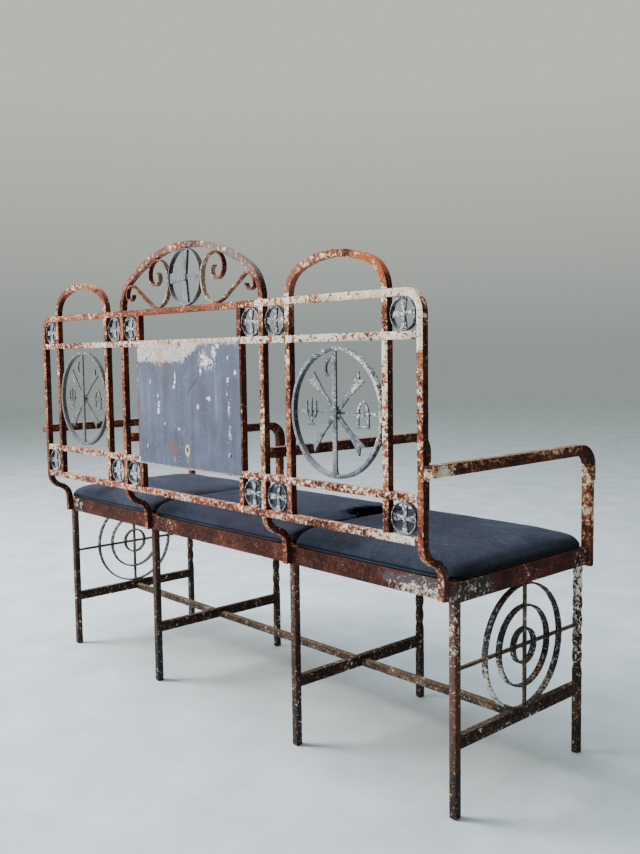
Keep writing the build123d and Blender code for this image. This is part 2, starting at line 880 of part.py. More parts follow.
save("pad_boards", [seat_board(*span) for span in pad_spans.values()])
for place, span in pad_spans.items():
    save(f"seat_pad_{place}", seat_pad(*span))
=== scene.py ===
import math

import bmesh
import bpy
import numpy as np
from mathutils import Matrix, Vector


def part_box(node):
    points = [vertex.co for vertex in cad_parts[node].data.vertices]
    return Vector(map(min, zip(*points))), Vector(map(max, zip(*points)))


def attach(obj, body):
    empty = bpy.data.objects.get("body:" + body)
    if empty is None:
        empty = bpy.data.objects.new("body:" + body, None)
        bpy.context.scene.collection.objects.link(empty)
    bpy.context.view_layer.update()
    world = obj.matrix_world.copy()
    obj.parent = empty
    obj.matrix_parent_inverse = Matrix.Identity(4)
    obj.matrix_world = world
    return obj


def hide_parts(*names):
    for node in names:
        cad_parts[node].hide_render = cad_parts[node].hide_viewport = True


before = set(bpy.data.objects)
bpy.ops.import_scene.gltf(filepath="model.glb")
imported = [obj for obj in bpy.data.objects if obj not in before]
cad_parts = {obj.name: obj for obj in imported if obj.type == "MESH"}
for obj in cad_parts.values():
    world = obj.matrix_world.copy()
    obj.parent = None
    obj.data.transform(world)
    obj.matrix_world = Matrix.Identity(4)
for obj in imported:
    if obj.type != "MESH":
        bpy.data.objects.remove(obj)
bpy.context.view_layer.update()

mm = 0.001
root = "root"


# small tools


def linear(hexText):
    # sRGB hex to the linear colour that shaders use
    values = [int(hexText[i:i + 2], 16) / 255 for i in (1, 3, 5)]
    return [v / 12.92 if v <= 0.04045 else ((v + 0.055) / 1.055) ** 2.4 for v in values] + [1.0]


def feed(tree, node, feeds):
    # fills inputs in order or by name, each with another node's output, a number, a vector or a hex colour
    for socket, value in feeds.items() if isinstance(feeds, dict) else enumerate(feeds):
        if isinstance(value, bpy.types.NodeSocket):
            tree.links.new(value, node.inputs[socket])
        else:
            node.inputs[socket].default_value = linear(value) if isinstance(value, str) else value


def add(tree, kind, feeds=(), out=0, **settings):
    # one node with its settings and links; gives back one of its outputs
    node = tree.nodes.new(f"ShaderNode{kind}")
    for name, value in settings.items():
        setattr(node, name, value)
    feed(tree, node, feeds)
    return node.outputs[out]


def newMaterial(name):
    material = bpy.data.materials.new(name)
    material.use_nodes = True
    tree = material.node_tree
    tree.nodes.clear()
    shader = tree.nodes.new("ShaderNodeBsdfPrincipled")
    output = tree.nodes.new("ShaderNodeOutputMaterial")
    tree.links.new(shader.outputs["BSDF"], output.inputs["Surface"])
    return material, tree, shader, add(tree, "TexCoord", out="Object")


def grain(tree, where, sizeMm, detail=3.0, rough=0.6, twist=0.0, shift=0.0):
    # noise whose blobs are about sizeMm across, moved by the shift so that no two patterns coincide
    moved = add(tree, "VectorMath", [where, (shift, shift * 0.7, shift * 1.3)], operation="ADD")
    pattern = {"Vector": moved, "Scale": 1 / (sizeMm * mm), "Detail": detail, "Roughness": rough}
    return add(tree, "TexNoise", {**pattern, "Distortion": twist}, "Fac")


def coats(tree, colour, layers):
    # lays colours over one another: each shows where its source goes from low to high, by up to its amount
    for source, low, high, amount, over in layers:
        share = add(tree, "MapRange", [source, low, high, 0.0, amount])
        colour = add(tree, "Mix", {0: share, 6: colour, 7: over}, 2, data_type="RGBA")
    return colour


def weigh(tree, parts):
    # weighted sum of several sources
    total = 0.0
    for source, weight in parts:
        total = add(tree, "Math", [source, weight, total], operation="MULTIPLY_ADD")
    return total


def latticeNoise(points, size, seed):
    # smooth noise from -1 to 1: random values on a cubic lattice, blended between its corners
    cells = points / size
    base = np.floor(cells).astype(np.int64)
    part = cells - base
    part = part * part * (3 - 2 * part)
    total = np.zeros(len(points))
    for corner in range(8):
        step = np.array([corner & 1, corner >> 1 & 1, corner >> 2 & 1])
        key = base + step
        mixed = key[:, 0] * 73856093 ^ key[:, 1] * 19349663 ^ key[:, 2] * 83492791 ^ seed * 265443576
        mixed = (mixed ^ (mixed >> 13)) * 1274126177
        value = ((mixed >> 9) & 0xFFFF) / 32767.5 - 1
        total += value * np.prod(np.where(step == 1, part, 1 - part), axis=1)
    return total


def readPoints(mesh):
    points = np.empty(len(mesh.vertices) * 3)
    mesh.vertices.foreach_get("co", points)
    return points.reshape(-1, 3)


def readNormals(mesh):
    normals = np.empty(len(mesh.vertices) * 3)
    mesh.vertex_normals.foreach_get("vector", normals)
    return normals.reshape(-1, 3)


def writePoints(mesh, points):
    mesh.vertices.foreach_set("co", points.ravel())
    mesh.update()


def place(name, mesh, material, replaced=()):
    # links a finished piece to the bench
    piece = bpy.data.objects.new(name, mesh)
    bpy.context.scene.collection.objects.link(piece)
    mesh.materials.clear()
    mesh.materials.append(material)
    mesh.polygons.foreach_set("use_smooth", np.ones(len(mesh.polygons), bool))
    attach(piece, root)
    if replaced:
        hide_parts(*replaced)
    return piece


def gridFaces(rows, columns, closeRows=False):
    # quads between rows of points; each row closes on itself
    row = np.arange(rows if closeRows else rows - 1)[:, None]
    column = np.arange(columns)[None, :]
    nextRow = (row + 1) % rows
    nextColumn = (column + 1) % columns
    corners = ((row, column), (row, nextColumn), (nextRow, nextColumn), (nextRow, column))
    return np.stack([r * columns + c for r, c in corners], axis=-1).reshape(-1, 4)


def meshFrom(name, points, faces):
    mesh = bpy.data.meshes.new(name)
    mesh.from_pydata(points.tolist(), [], [list(map(int, face)) for face in faces])
    mesh.validate()
    return mesh


def evaluated(piece):
    # the mesh with its modifiers applied
    graph = bpy.context.evaluated_depsgraph_get()
    return bpy.data.meshes.new_from_object(piece.evaluated_get(graph))


def modified(mesh, kind, **settings):
    # the mesh after one modifier
    helper = bpy.data.objects.new("helper", mesh)
    bpy.context.scene.collection.objects.link(helper)
    modifier = helper.modifiers.new("modifier", kind)
    for name, value in settings.items():
        setattr(modifier, name, value)
    result = evaluated(helper)
    bpy.data.objects.remove(helper)
    return result


def cleanCopy(nodeName):
    # a CAD node's mesh with its loose triangles joined
    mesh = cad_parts[nodeName].data.copy()
    work = bmesh.new()
    work.from_mesh(mesh)
    bmesh.ops.remove_doubles(work, verts=work.verts, dist=0.01 * mm)
    work.to_mesh(mesh)
    work.free()
    if "custom_normal" in mesh.attributes:
        mesh.attributes.remove(mesh.attributes["custom_normal"])
    return mesh


cutting = {"flatDegrees": 1.5, "cornerDegrees": 32, "offset": 0.317}  # offset of the first cut, in steps


def crispCopy(nodeName, edgeMm, stepMm):
    # a CAD node's mesh with worn corners, cut across into short lengths so that it can be pitted
    mesh = cleanCopy(nodeName)
    work = bmesh.new()
    work.from_mesh(mesh)
    flat, corner = (math.radians(cutting[name]) for name in ("flatDegrees", "cornerDegrees"))
    bmesh.ops.dissolve_limit(work, angle_limit=flat, verts=work.verts, edges=work.edges)
    sharp = [edge for edge in work.edges if edge.is_manifold and edge.calc_face_angle(0) > corner]
    bmesh.ops.bevel(
        work, geom=sharp, offset=edgeMm * mm, offset_type="OFFSET", segments=2, profile=0.5,
        affect="EDGES", clamp_overlap=False,
    )
    points = np.array([vertex.co[:] for vertex in work.verts])
    low, high = points.min(axis=0), points.max(axis=0)
    for axis in range(3):
        count = int((high[axis] - low[axis]) / (stepMm * mm))
        if count < 4:
            continue
        normal = [0, 0, 0]
        normal[axis] = 1
        for number in range(1, count):
            at = [0, 0, 0]
            at[axis] = low[axis] + (high[axis] - low[axis]) * (number + cutting["offset"]) / count
            whole = work.verts[:] + work.edges[:] + work.faces[:]
            bmesh.ops.bisect_plane(work, geom=whole, plane_co=at, plane_no=normal, dist=1e-6)
    bmesh.ops.triangulate(work, faces=work.faces)
    work.to_mesh(mesh)
    work.free()
    return mesh


pits = {"coarseMm": 22, "coarse": 0.35, "fineMm": 6, "fine": 0.45}


def wear(mesh, depth, seed):
    # rust pits: points sink along their normals by up to depth, in blobs of two sizes
    points = readPoints(mesh)
    coarse = latticeNoise(points, pits["coarseMm"] * mm, seed)
    fine = latticeNoise(points, pits["fineMm"] * mm, seed + 1)
    sink = np.clip(0.5 + pits["coarse"] * coarse + pits["fine"] * fine, 0, 1) * depth
    writePoints(mesh, points - readNormals(mesh) * sink[:, None])


# finishes


rust = {
    "deep": "#34120a",
    "body": "#75392a",
    "bright": "#b8744f",
    # painted shade: the next two colours go on faces turned away from the key light (-X)
    "shade": "#1f0803",
    "shadeBright": "#45170b",
    # painted highlight: this colour lightens faces turned upward
    "paintedTopLight": "#b96c50",
    "patchMm": 70,
    "mottleMm": 9,
    "gritMm": 2.4,
    "ageMm": 38,
    "crumbMm": 4.5,
    "shift": 0,
    "dark": 0.9,  # how far the painted shade colours cover the faces turned away from the key light (-X)
    # how far that painted highlight covers faces turned upward
    "paintedTopLightShare": 0.5,
    "bare": 0.05,  # less paint on those faces, darkening them further as painted shade
    "haloShare": 0.75,
    "crumbs": 0.75,
    "specular": 0.25,
    "tints": (),  # centre and half sizes in millimetres, colour, amount
    "painted": (),  # centre and half sizes in millimetres, amount of paint more or less
}


def farFrom(tree, where, centre, size):
    # distance from a place on the bench, in shares of the size along each axis; both are in millimetres
    away = add(tree, "VectorMath", [where, [c * mm for c in centre]], operation="SUBTRACT")
    scaled = add(tree, "VectorMath", [away, [1 / (s * mm) for s in size]], operation="MULTIPLY")
    return add(tree, "VectorMath", [scaled], "Value", operation="LENGTH")


def window(tree, where, centre, size, ragged=None):
    # 1 near a place on the bench, falling to 0 at its size; noise makes its edge wander
    length = farFrom(tree, where, centre, size)
    if ragged is None:
        return add(tree, "MapRange", [length, 1.15, 0.75])
    return add(tree, "MapRange", [weigh(tree, [(length, 1.0), (ragged, 2.4)]), 2.3, 2.0])


def ironFinish(name, look):
    # wrought iron, painted pale over dark and left outdoors: matt rust, with thin hard-edged islands of
    # paint that rust has stained along their edges
    material, tree, shader, where = newMaterial(name)
    look = {**rust, **look}
    shift, line = look["shift"], look["paintFrom"]
    patch = grain(tree, where, look["patchMm"], 3, 0.55, 0.4, shift)
    mottle = grain(tree, where, look["mottleMm"], 5, 0.62, 0.3, 1.7 + shift)
    grit = grain(tree, where, look["gritMm"], 3, 0.65, 0.0, 3.1)
    age = grain(tree, where, look["ageMm"], 2, 0.5, 0.0, 8.1 + shift)
    chip = grain(tree, where, look["chipMm"], 4, 0.62, 0.7, 5.3 + shift)
    crumb = grain(tree, where, look["crumbMm"], 3, 0.6, 0.6, 9.3)
    tone = weigh(tree, [(patch, 0.4), (mottle, 0.4), (grit, 0.2)])
    # painted shade: faces turned away from the key light (-X) take the shade colours; painted highlight:
    # faces turned upward take a lighter colour
    faces = add(tree, "NewGeometry", out="Normal")
    upward = add(tree, "SeparateXYZ", [faces], "Z")
    away = add(tree, "MapRange", [add(tree, "SeparateXYZ", [faces], "X"), -0.35, -0.8])
    shade = coats(tree, look["shade"], [(tone, 0.47, 0.6, 1, look["shadeBright"])])
    bare = [
        (tone, 0.44, 0.51, 1, look["body"]),
        (tone, 0.52, 0.59, 1, look["bright"]),
        (away, 0, 1, look["dark"], shade),
        (upward, 0.3, 0.9, look["paintedTopLightShare"], look["paintedTopLight"]),
    ]
    for centre, size, tint, amount in look["tints"]:
        bare.append((window(tree, where, centre, size, mottle), 0, 1, amount, tint))
    # paint stays where its field lies above a line; the field is lowered on the -X faces, so less pale
    # paint shows there, as painted shade
    parts = [(chip, 0.66), (patch, 0.2), (mottle, 0.14), (away, -look["bare"])]
    for centre, size, amount in look["painted"]:
        parts.append((window(tree, where, centre, size, mottle), amount))
    field = weigh(tree, parts)
    paint = add(tree, "MapRange", [field, line, line + 0.01])
    painted = [
        (weigh(tree, [(age, 0.55), (mottle, 0.45)]), 0.43, 0.56, 1, look["paintShade"]),
        (field, line + 0.03, line + 0.004, 0.55, look["stain"]),
        (grit, 0.58, 0.64, 1, look["speck"]),
    ]
    # crumbs of paint hold on all over the rust, fewer on the -X faces as painted shade
    left = [
        (weigh(tree, [(crumb, 1.0), (away, -0.03)]), 0.63, 0.65, look["crumbs"], look["paintShade"]),
        (field, line - 0.05, line - 0.008, look["haloShare"], look["halo"]),
        (paint, 0, 1, 1, coats(tree, look["paint"], painted)),
    ]
    height = weigh(tree, [(paint, 0.4), (mottle, 0.8), (grit, 0.45)])
    feed(tree, shader, {
        "Base Color": coats(tree, look["deep"], bare + left),
        "Roughness": add(tree, "MapRange", [paint, 0, 1, 0.88, 0.6]),
        "Specular IOR Level": look["specular"],
        "Normal": add(tree, "Bump", {"Strength": 1.0, "Distance": 1.2 * mm, "Height": height}),
    })
    return material


paintParts = ("paint", "paintShade", "stain", "speck", "halo")
cream = dict(zip(paintParts, ("#eee8dc", "#d8bf9b", "#cf9560", "#8a4e33", "#b26c3e")))
chalk = dict(zip(paintParts, ("#ecebe8", "#cdc5b8", "#c0946c", "#8a5c44", "#a2673f")))

backLook = {
    **cream,
    "chipMm": 9,
    "paintFrom": 0.58,
    "bare": 0.15,
    "painted": (
        ((-480, 262, 968), (320, 40, 18), 0.085),
        ((-560, 262, 968), (90, 40, 18), 0.05),
        ((-690, 262, 968), (50, 40, 30), 0.06),
        ((-716, 262, 920), (34, 40, 62), 0.14),
        ((-716, 262, 745), (24, 40, 120), 0.045),
        ((-632, 262, 800), (24, 40, 110), 0.105),
        ((-632, 262, 630), (24, 40, 90), 0.06),
        ((-363, 262, 900), (20, 40, 75), 0.06),
        ((-363, 262, 690), (20, 40, 140), 0.02),
        ((-280, 262, 720), (24, 40, 260), 0.05),
        ((-500, 256, 1058), (95, 40, 26), 0.06),
        ((0, 262, 968), (185, 40, 20), -0.02),
        ((480, 262, 968), (220, 40, 20), 0.02),
        ((363, 262, 700), (22, 40, 240), 0.05),
        ((498, 256, 1058), (110, 40, 30), 0.03),
        ((110, 262, 1095), (170, 40, 60), 0.03),
        ((-150, 262, 1070), (160, 40, 50), 0.035),
        ((-716, 210, 425), (30, 40, 40), 0.06),
    ),
    "tints": (
        ((-170, 255, 1080), (160, 40, 80), "#736a70", 0.85),
        ((-595, 255, 1035), (50, 40, 60), "#c4683a", 0.6),
        ((-400, 255, 1010), (60, 40, 90), "#8c5347", 0.8),
        ((-204, 255, 750), (22, 40, 240), "#45160c", 0.7),
        ((204, 255, 750), (22, 40, 240), "#45160c", 0.5),
        ((0, 262, 968), (185, 40, 20), "#84452f", 0.45),
        ((170, 255, 1070), (130, 40, 75), "#76514c", 0.75),
        ((-716, 212, 430), (30, 50, 42), "#5b3c36", 0.8),
    ),
}
backFinish = ironFinish("rustedBackBars", backLook)

scrollLook = {
    **cream,
    "chipMm": 7,
    "paintFrom": 0.6,
    "deep": "#4c2115",
    "body": "#7d4631",
    "bright": "#ad7048",
    "paintedTopLightShare": 0.3,
    "painted": (
        ((-85, 255, 1020), (30, 40, 70), 0.12),
        ((85, 255, 1020), (30, 40, 70), 0.08),
        ((-190, 255, 1000), (60, 40, 30), 0.06),
    ),
    "tints": (
        ((-85, 255, 1020), (34, 40, 70), "#8d8377", 0.85),
        ((85, 255, 1020), (34, 40, 70), "#6f625c", 0.85),
        ((-190, 255, 1000), (60, 40, 30), "#7a5a58", 0.6),
    ),
    "shift": 5.1,
}
scrollFinish = ironFinish("rustedScrolls", scrollLook)

railLook = {
    **chalk,
    "chipMm": 9,
    "paintFrom": 0.495,
    "painted": (
        ((-560, 262, 892), (260, 40, 18), 0.035),
        ((-420, 262, 604), (330, 40, 18), -0.02),
        ((520, 262, 750), (300, 40, 200), -0.035),
        ((0, 262, 528), (760, 40, 16), -0.05),
        ((-630, 262, 528), (110, 40, 16), 0.05),
    ),
    "shift": 9.1,
}
railFinish = ironFinish("flakedLatticeRails", railLook)

seatRailLook = {
    **chalk,
    "paint": "#d8d2c4",
    "paintShade": "#a28b7d",
    "stain": "#8f7f70",
    "speck": "#2e2624",
    "halo": "#5a3a2e",
    "chipMm": 6,
    "paintFrom": 0.62,
    "deep": "#2b100a",
    "body": "#472018",
    "bright": "#673226",
    "crumbs": 0.3,
    "shade": "#2c0f08",
    "shadeBright": "#6b3020",
    "dark": 0.7,
    "bare": 0.0,
    "paintedTopLightShare": 0.2,
    "painted": (
        ((-738, 134, 428), (30, 52, 40), 0.07),
        ((-655, 192, 418), (80, 20, 13), 0.15),
        ((-640, 192, 436), (60, 20, 12), 0.06),
        ((-738, -215, 428), (30, 26, 40), 0.08),
        ((-738, -30, 420), (30, 40, 30), 0.04),
        ((700, 192, 428), (50, 20, 40), 0.12),
        ((230, 192, 428), (60, 20, 40), 0.05),
    ),
    "tints": (
        ((-650, 192, 432), (90, 30, 18), "#57525a", 0.85),
        ((-738, 140, 428), (30, 62, 40), "#343330", 0.9),
    ),
    "shift": 2.3,
}
seatRailFinish = ironFinish("rustedSeatRails", seatRailLook)

armLook = {
    **cream,
    "chipMm": 9,
    "paintFrom": 0.60,
    "deep": "#2a110d",
    "body": "#5c2d21",
    "bright": "#8c5038",
    "shade": "#2c0f08",
    "shadeBright": "#5b2818",
    "paintedTopLight": "#84625c",
    "paintedTopLightShare": 0.8,
    "dark": 0.6,
    "bare": 0.01,
    "painted": (
        ((-735, -250, 560), (40, 40, 70), 0.07),
        ((-735, 235, 648), (30, 32, 16), 0.2),
        ((-735, 100, 661), (40, 190, 7), 0.06),
        ((-735, -150, 661), (40, 90, 7), 0.06),
    ),
    "shift": 4.4,
}
armFinish = ironFinish("rustedArms", armLook)

legLook = {
    **cream,
    "chipMm": 8,
    "paintFrom": 0.59,
    "deep": "#171110",
    "body": "#2f211c",
    "bright": "#5a3a2b",
    "shade": "#160a07",
    "shadeBright": "#351710",
    "dark": 0.6,
    "paintedTopLightShare": 0.1,
    "speck": "#3d2a22",
    "stain": "#a5907a",
    "halo": "#4a382e",
    "bare": 0.0,
    "painted": (
        ((-725, -229, 350), (30, 30, 95), 0.1),
        ((-725, -229, 230), (30, 30, 60), 0.03),
        ((-725, 179, 120), (30, 30, 60), -0.05),
        ((-725, 179, 330), (30, 30, 110), 0.03),
    ),
    "crumbs": 0.55,
    "tints": (
        ((-725, 190, 330), (40, 12, 190), "#6b4743", 0.65),
        ((-280, 190, 400), (40, 12, 200), "#54342c", 0.7),
        ((280, 190, 400), (40, 12, 200), "#4f3028", 0.5),
        ((725, 190, 400), (40, 12, 150), "#4d2f27", 0.5),
        # painted shade: darkens the -X face of the near rear leg
        ((-733, 179, 330), (4, 12, 190), "#4b1f13", 0.8),
        ((0, 0, 40), (800, 300, 95), "#212327", 0.8),
    ),
    "shift": 6.2,
    "specular": 0.4,
}
legFinish = ironFinish("darkLegs", legLook)

stretcherLook = {
    **chalk,
    "chipMm": 9,
    "paintFrom": 0.585,
    "deep": "#241b17",
    "body": "#493c34",
    "bright": "#77675a",
    "shade": "#2b211b",
    "shadeBright": "#4b3d34",
    "paintedTopLight": "#8f8170",
    "speck": "#5b4639",
    "halo": "#5d4d42",
    "shift": 8.7,
}
stretcherFinish = ironFinish("weatheredStretcher", stretcherLook)

crossLook = {
    **cream,
    "chipMm": 8,
    "paintFrom": 0.59,
    "deep": "#1a1311",
    "body": "#332520",
    "bright": "#5b4236",
    "shade": "#1c1210",
    "shadeBright": "#3f2a21",
    "paintedTopLight": "#4f4744",
    "halo": "#4d382c",
    "bare": 0.0,
    "painted": (((-733, -150, 145), (30, 60, 20), -0.03), ((-280, 0, 145), (30, 60, 20), 0.02)),
    "shift": 1.9,
}
crossFinish = ironFinish("darkCrossStretchers", crossLook)

endRingLook = {
    **chalk,
    "chipMm": 6,
    "paintFrom": 0.56,
    "deep": "#16171a",
    "body": "#2b2d32",
    "bright": "#4c4a4c",
    "shade": "#141518",
    "shadeBright": "#34363b",
    "paintedTopLight": "#55514f",
    "paint": "#d2cfc9",
    "paintShade": "#a5a19b",
    "stain": "#7d7268",
    "speck": "#4b4039",
    "halo": "#4a4442",
    "bare": 0.0,
    "painted": (
        ((-731, 70, 215), (30, 50, 50), 0.09),
        ((-731, -100, 215), (30, 50, 50), 0.05),
        ((-731, -25, 340), (30, 90, 30), -0.01),
    ),
    "tints": (
        ((-731, -40, 400), (30, 90, 26), "#4f2416", 0.9),
        ((-731, -90, 215), (30, 30, 26), "#5b2a19", 0.8),
        ((-731, -25, 250), (30, 20, 14), "#6b5630", 0.7),
    ),
    "shift": 3.9,
}
endRingFinish = ironFinish("darkEndRings", endRingLook)

endRodLook = {
    **cream,
    "chipMm": 7,
    "paintFrom": 0.6,
    "deep": "#2a201b",
    "body": "#4d4037",
    "bright": "#83735f",
    "halo": "#6b4a36",
    "paintedTopLight": "#6f6252",
    "shade": "#2b1f19",
    "shadeBright": "#6a5444",
    "bare": 0.0,
    "shift": 2.9,
}
endRodFinish = ironFinish("rustedEndRods", endRodLook)

wheelLook = {
    **chalk,
    "chipMm": 6,
    "paintFrom": 0.575,
    "deep": "#4b505a",
    "body": "#757b88",
    "bright": "#9297a3",
    "shade": "#1a1e20",
    "shadeBright": "#3a4044",
    "paintedTopLight": "#a3a7b0",
    "paint": "#e4e5e7",
    "paintShade": "#bfc3c9",
    "stain": "#9a9ca3",
    "speck": "#6d6a6c",
    "halo": "#5a5f68",
    "painted": (
        ((-600, 260, 790), (60, 40, 120), 0.1),
        ((-500, 260, 870), (130, 40, 30), 0.06),
        ((-500, 260, 748), (40, 40, 40), 0.06),
        ((-500, 260, 690), (150, 40, 60), -0.02),
        ((500, 260, 748), (160, 40, 160), -0.03),
    ),
    "tints": (((500, 258, 748), (160, 40, 160), "#5a5e5c", 0.85),),
    "shift": 7.7,
    "specular": 0.35,
}
wheelFinish = ironFinish("chalkyMedallions", wheelLook)

lunetteLook = {
    **wheelLook,
    "paintFrom": 0.64,
    "deep": "#5f606b",
    "body": "#767783",
    "bright": "#8e8f9a",
    "painted": (),
    "tints": (),
}
lunetteFinish = ironFinish("greyLunette", lunetteLook)

crossesLook = {
    **wheelLook,
    "deep": "#3c4048",
    "body": "#636873",
    "bright": "#868b97",
    "paintFrom": 0.505,
    "chipMm": 6,
    "bare": 0.08,
    "painted": (((500, 260, 750), (320, 40, 300), -0.02), ((-703, 260, 960), (30, 30, 30), -0.02)),
    "tints": (),
    "shift": 1.2,
}
crossesFinish = ironFinish("flakedSmallCrosses", crossesLook)
print("finishes made")


# camera, light and floor


view = {
    "place": (-1761.6, 1448.9, 861.5),  # millimetres
    "heading": (0.73679, -0.67134, -0.08027),
    "roll": -0.77,  # degrees
    "focalPixels": 909.6,
    "imageWidth": 640,
}


def makeCamera():
    data = bpy.data.cameras.new("camera")
    data.sensor_fit = "HORIZONTAL"
    data.sensor_width = 36
    data.lens = view["focalPixels"] * data.sensor_width / view["imageWidth"]
    ahead = Vector(view["heading"]).normalized()
    right = ahead.cross(Vector((0, 0, 1))).normalized()
    up = right.cross(ahead)
    roll = math.radians(view["roll"])
    right, up = right * math.cos(roll) + up * math.sin(roll), up * math.cos(roll) - right * math.sin(roll)
    turned = Matrix((right, up, -ahead)).transposed().to_4x4()
    camera = bpy.data.objects.new("camera", data)
    camera.matrix_world = Matrix.Translation(Vector(view["place"]) * mm) @ turned
    bpy.context.scene.collection.objects.link(camera)
    bpy.context.scene.camera = camera


lightAim = (0, 0, 0.55)
lights = {
    "key": {"place": (3.4, 3.0, 3.4), "size": 2.6, "power": 530, "colour": "#fff6ec"},
    "sky": {"place": (0.6, 0.4, 4.4), "size": 4.5, "power": 190, "colour": "#f1f5f9"},
}


def makeLights():
    aim = Vector(lightAim)
    for name, light in lights.items():
        data = bpy.data.lights.new(name, "AREA")
        data.shape = "DISK"
        data.size = light["size"]
        data.energy = light["power"]
        data.color = linear(light["colour"])[:3]
        lamp = bpy.data.objects.new(name, data)
        lamp.location = light["place"]
        lamp.rotation_euler = (aim - lamp.location).to_track_quat("-Z", "Y").to_euler()
        bpy.context.scene.collection.objects.link(lamp)


surround = {
    "low": "#9aa5a2",
    "high": "#e0e1d2",
    "strength": 0.9,
    "dim": 0.3,
    "radius": 14.0,
    "rings": 24,
    "sides": 64,
    "floor": "#b6c9d8",
    "floorPale": "#d1e1ee",
}


def makeSurround():
    # a pale backdrop, lighter upwards and dimmer on the side away from the key light, and a plain floor
    world = bpy.data.worlds.new("backdrop")
    world.use_nodes = True
    bpy.context.scene.world = world
    tree = world.node_tree
    direction = add(tree, "TexCoord", out="Generated")
    upward = add(tree, "SeparateXYZ", [direction], "Z")
    sideways = add(tree, "SeparateXYZ", [direction], "X")
    feed(tree, tree.nodes["Background"], {
        "Color": coats(tree, surround["low"], [(upward, 0.0, 0.27, 1, surround["high"])]),
        "Strength": add(tree, "MapRange", [sideways, -0.3, 0.25, surround["dim"], surround["strength"]]),
    })
    # floor: rings of points, radius growing with the square of the ring number
    ring = (np.arange(surround["rings"]) + 1.0) / surround["rings"]
    turn = np.linspace(0, 2 * np.pi, surround["sides"], endpoint=False)
    radius = surround["radius"] * ring**2
    x = np.outer(radius, np.cos(turn)).ravel()
    y = np.outer(radius, np.sin(turn)).ravel()
    points = np.stack([x, y, np.zeros_like(x)], axis=1)
    faces = gridFaces(surround["rings"], surround["sides"])[:, ::-1].tolist()
    faces.append(list(range(surround["sides"])))
    mesh = meshFrom("floor", points, faces)
    material, tree, shader, where = newMaterial("plainFloor")
    tone = weigh(tree, [(grain(tree, where, 180, 5, 0.6), 0.6), (grain(tree, where, 4, 3, 0.6), 0.4)])
    floorColour = coats(tree, surround["floor"], [(tone, 0.38, 0.62, 1, surround["floorPale"])])
    feed(tree, shader, {"Base Color": floorColour, "Roughness": 0.9})
    floor = bpy.data.objects.new("floor", mesh)
    mesh.materials.append(material)
    bpy.context.scene.collection.objects.link(floor)


makeCamera()
makeLights()
makeSurround()
print("camera, light and floor made")


# bars: CAD shapes with softened edges and pitted faces


barGroups = (
    (backFinish, "back_iron", (
        "outer_back_bar", "arched_back_bar", "hoop_right", "hoop_left",
        "inner_upright_right", "inner_upright_left",
    )),
    (railFinish, "lattice_rail_iron", ("second_rail", "third_rail", "bottom_rail")),
    (seatRailFinish, "seat_rail_iron", (
        "rear_seat_rail", "front_seat_rail", "end_rail_right", "end_rail_left",
    )),
    (stretcherFinish, "stretcher_iron", ("long_stretcher",)),
    (scrollFinish, "scroll_iron", ("scrolls",)),
    (crossesFinish, "ornament_iron", ("small_crosses",)),
    (lunetteFinish, "ornament_iron", ("lunette_cross",)),
    (wheelFinish, "ornament_iron", (
        "medallion_staff_right", "medallion_staff_left", "medallion_spokes_right", "medallion_spokes_left",
        "medallion_motifs",
    )),
)
bars = {nodeName: (finish, slotName) for finish, slotName, names in barGroups for nodeName in names}
sideFrames = ("right_end", "right_inner", "left_inner", "left_end")
for spot in sideFrames:
    bars[f"rear_leg_{spot}"] = (legFinish, "leg_iron")
    bars[f"cross_stretcher_{spot}"] = (crossFinish, "stretcher_iron")
    bars[f"arm_bar_{spot}"] = (armFinish, "arm_iron")
    bars[f"arm_cap_{spot}"] = (armFinish, "arm_iron")
# worn radius of the corners, spacing of the cross cuts and depth of the pits in millimetres, by slot
corners = {
    "back_iron": (1.1, 14, 0.45),
    "lattice_rail_iron": (0.9, 14, 0.4),
    "seat_rail_iron": (0.8, 22, 0.35),
    "stretcher_iron": (1.0, 16, 0.45),
    "scroll_iron": (0.5, 9, 0.25),
    "ornament_iron": (0.3, 12, 0.15),
    "leg_iron": (1.1, 14, 0.4),
    "arm_iron": (1.0, 14, 0.35),
}
barSharp = 38  # degrees above which an edge is drawn sharp


def pieceName(nodeName):
    words = nodeName.split("_")
    return words[0] + "".join(word.capitalize() for word in words[1:])


def makeBars():
    for seed, (nodeName, (finish, slotName)) in enumerate(bars.items()):
        corner, step, depth = corners[slotName]
        mesh = crispCopy(nodeName, corner, step)
        wear(mesh, depth * mm, seed * 7)
        place(pieceName(nodeName), mesh, finish, [nodeName])
        mesh.set_sharp_from_angle(angle=math.radians(barSharp))


makeBars()
print("bars made")


# twisted front legs


leg = {
    "half": 8.0,
    "corner": 1.6,
    "cornerPoints": 5,
    "steps": 180,
    "turns": 1.5,
    "twistLow": 169.0,
    "twistHigh": 397.0,
    "footRise": 2.0,
    "footShare": 0.88,
    "pits": 0.5,
}


def roundedSquare(half, radius, count):
    # points of a square with rounded corners, counter-clockwise
    turn = np.linspace(0, np.pi / 2, count)
    arc = np.stack([np.cos(turn), np.sin(turn)], axis=1) * radius + (half - radius)
    quarter = np.array([[0, -1], [1, 0]])
    corners = [arc]
    for _ in range(3):
        corners.append(corners[-1] @ quarter.T)
    return np.concatenate(corners)


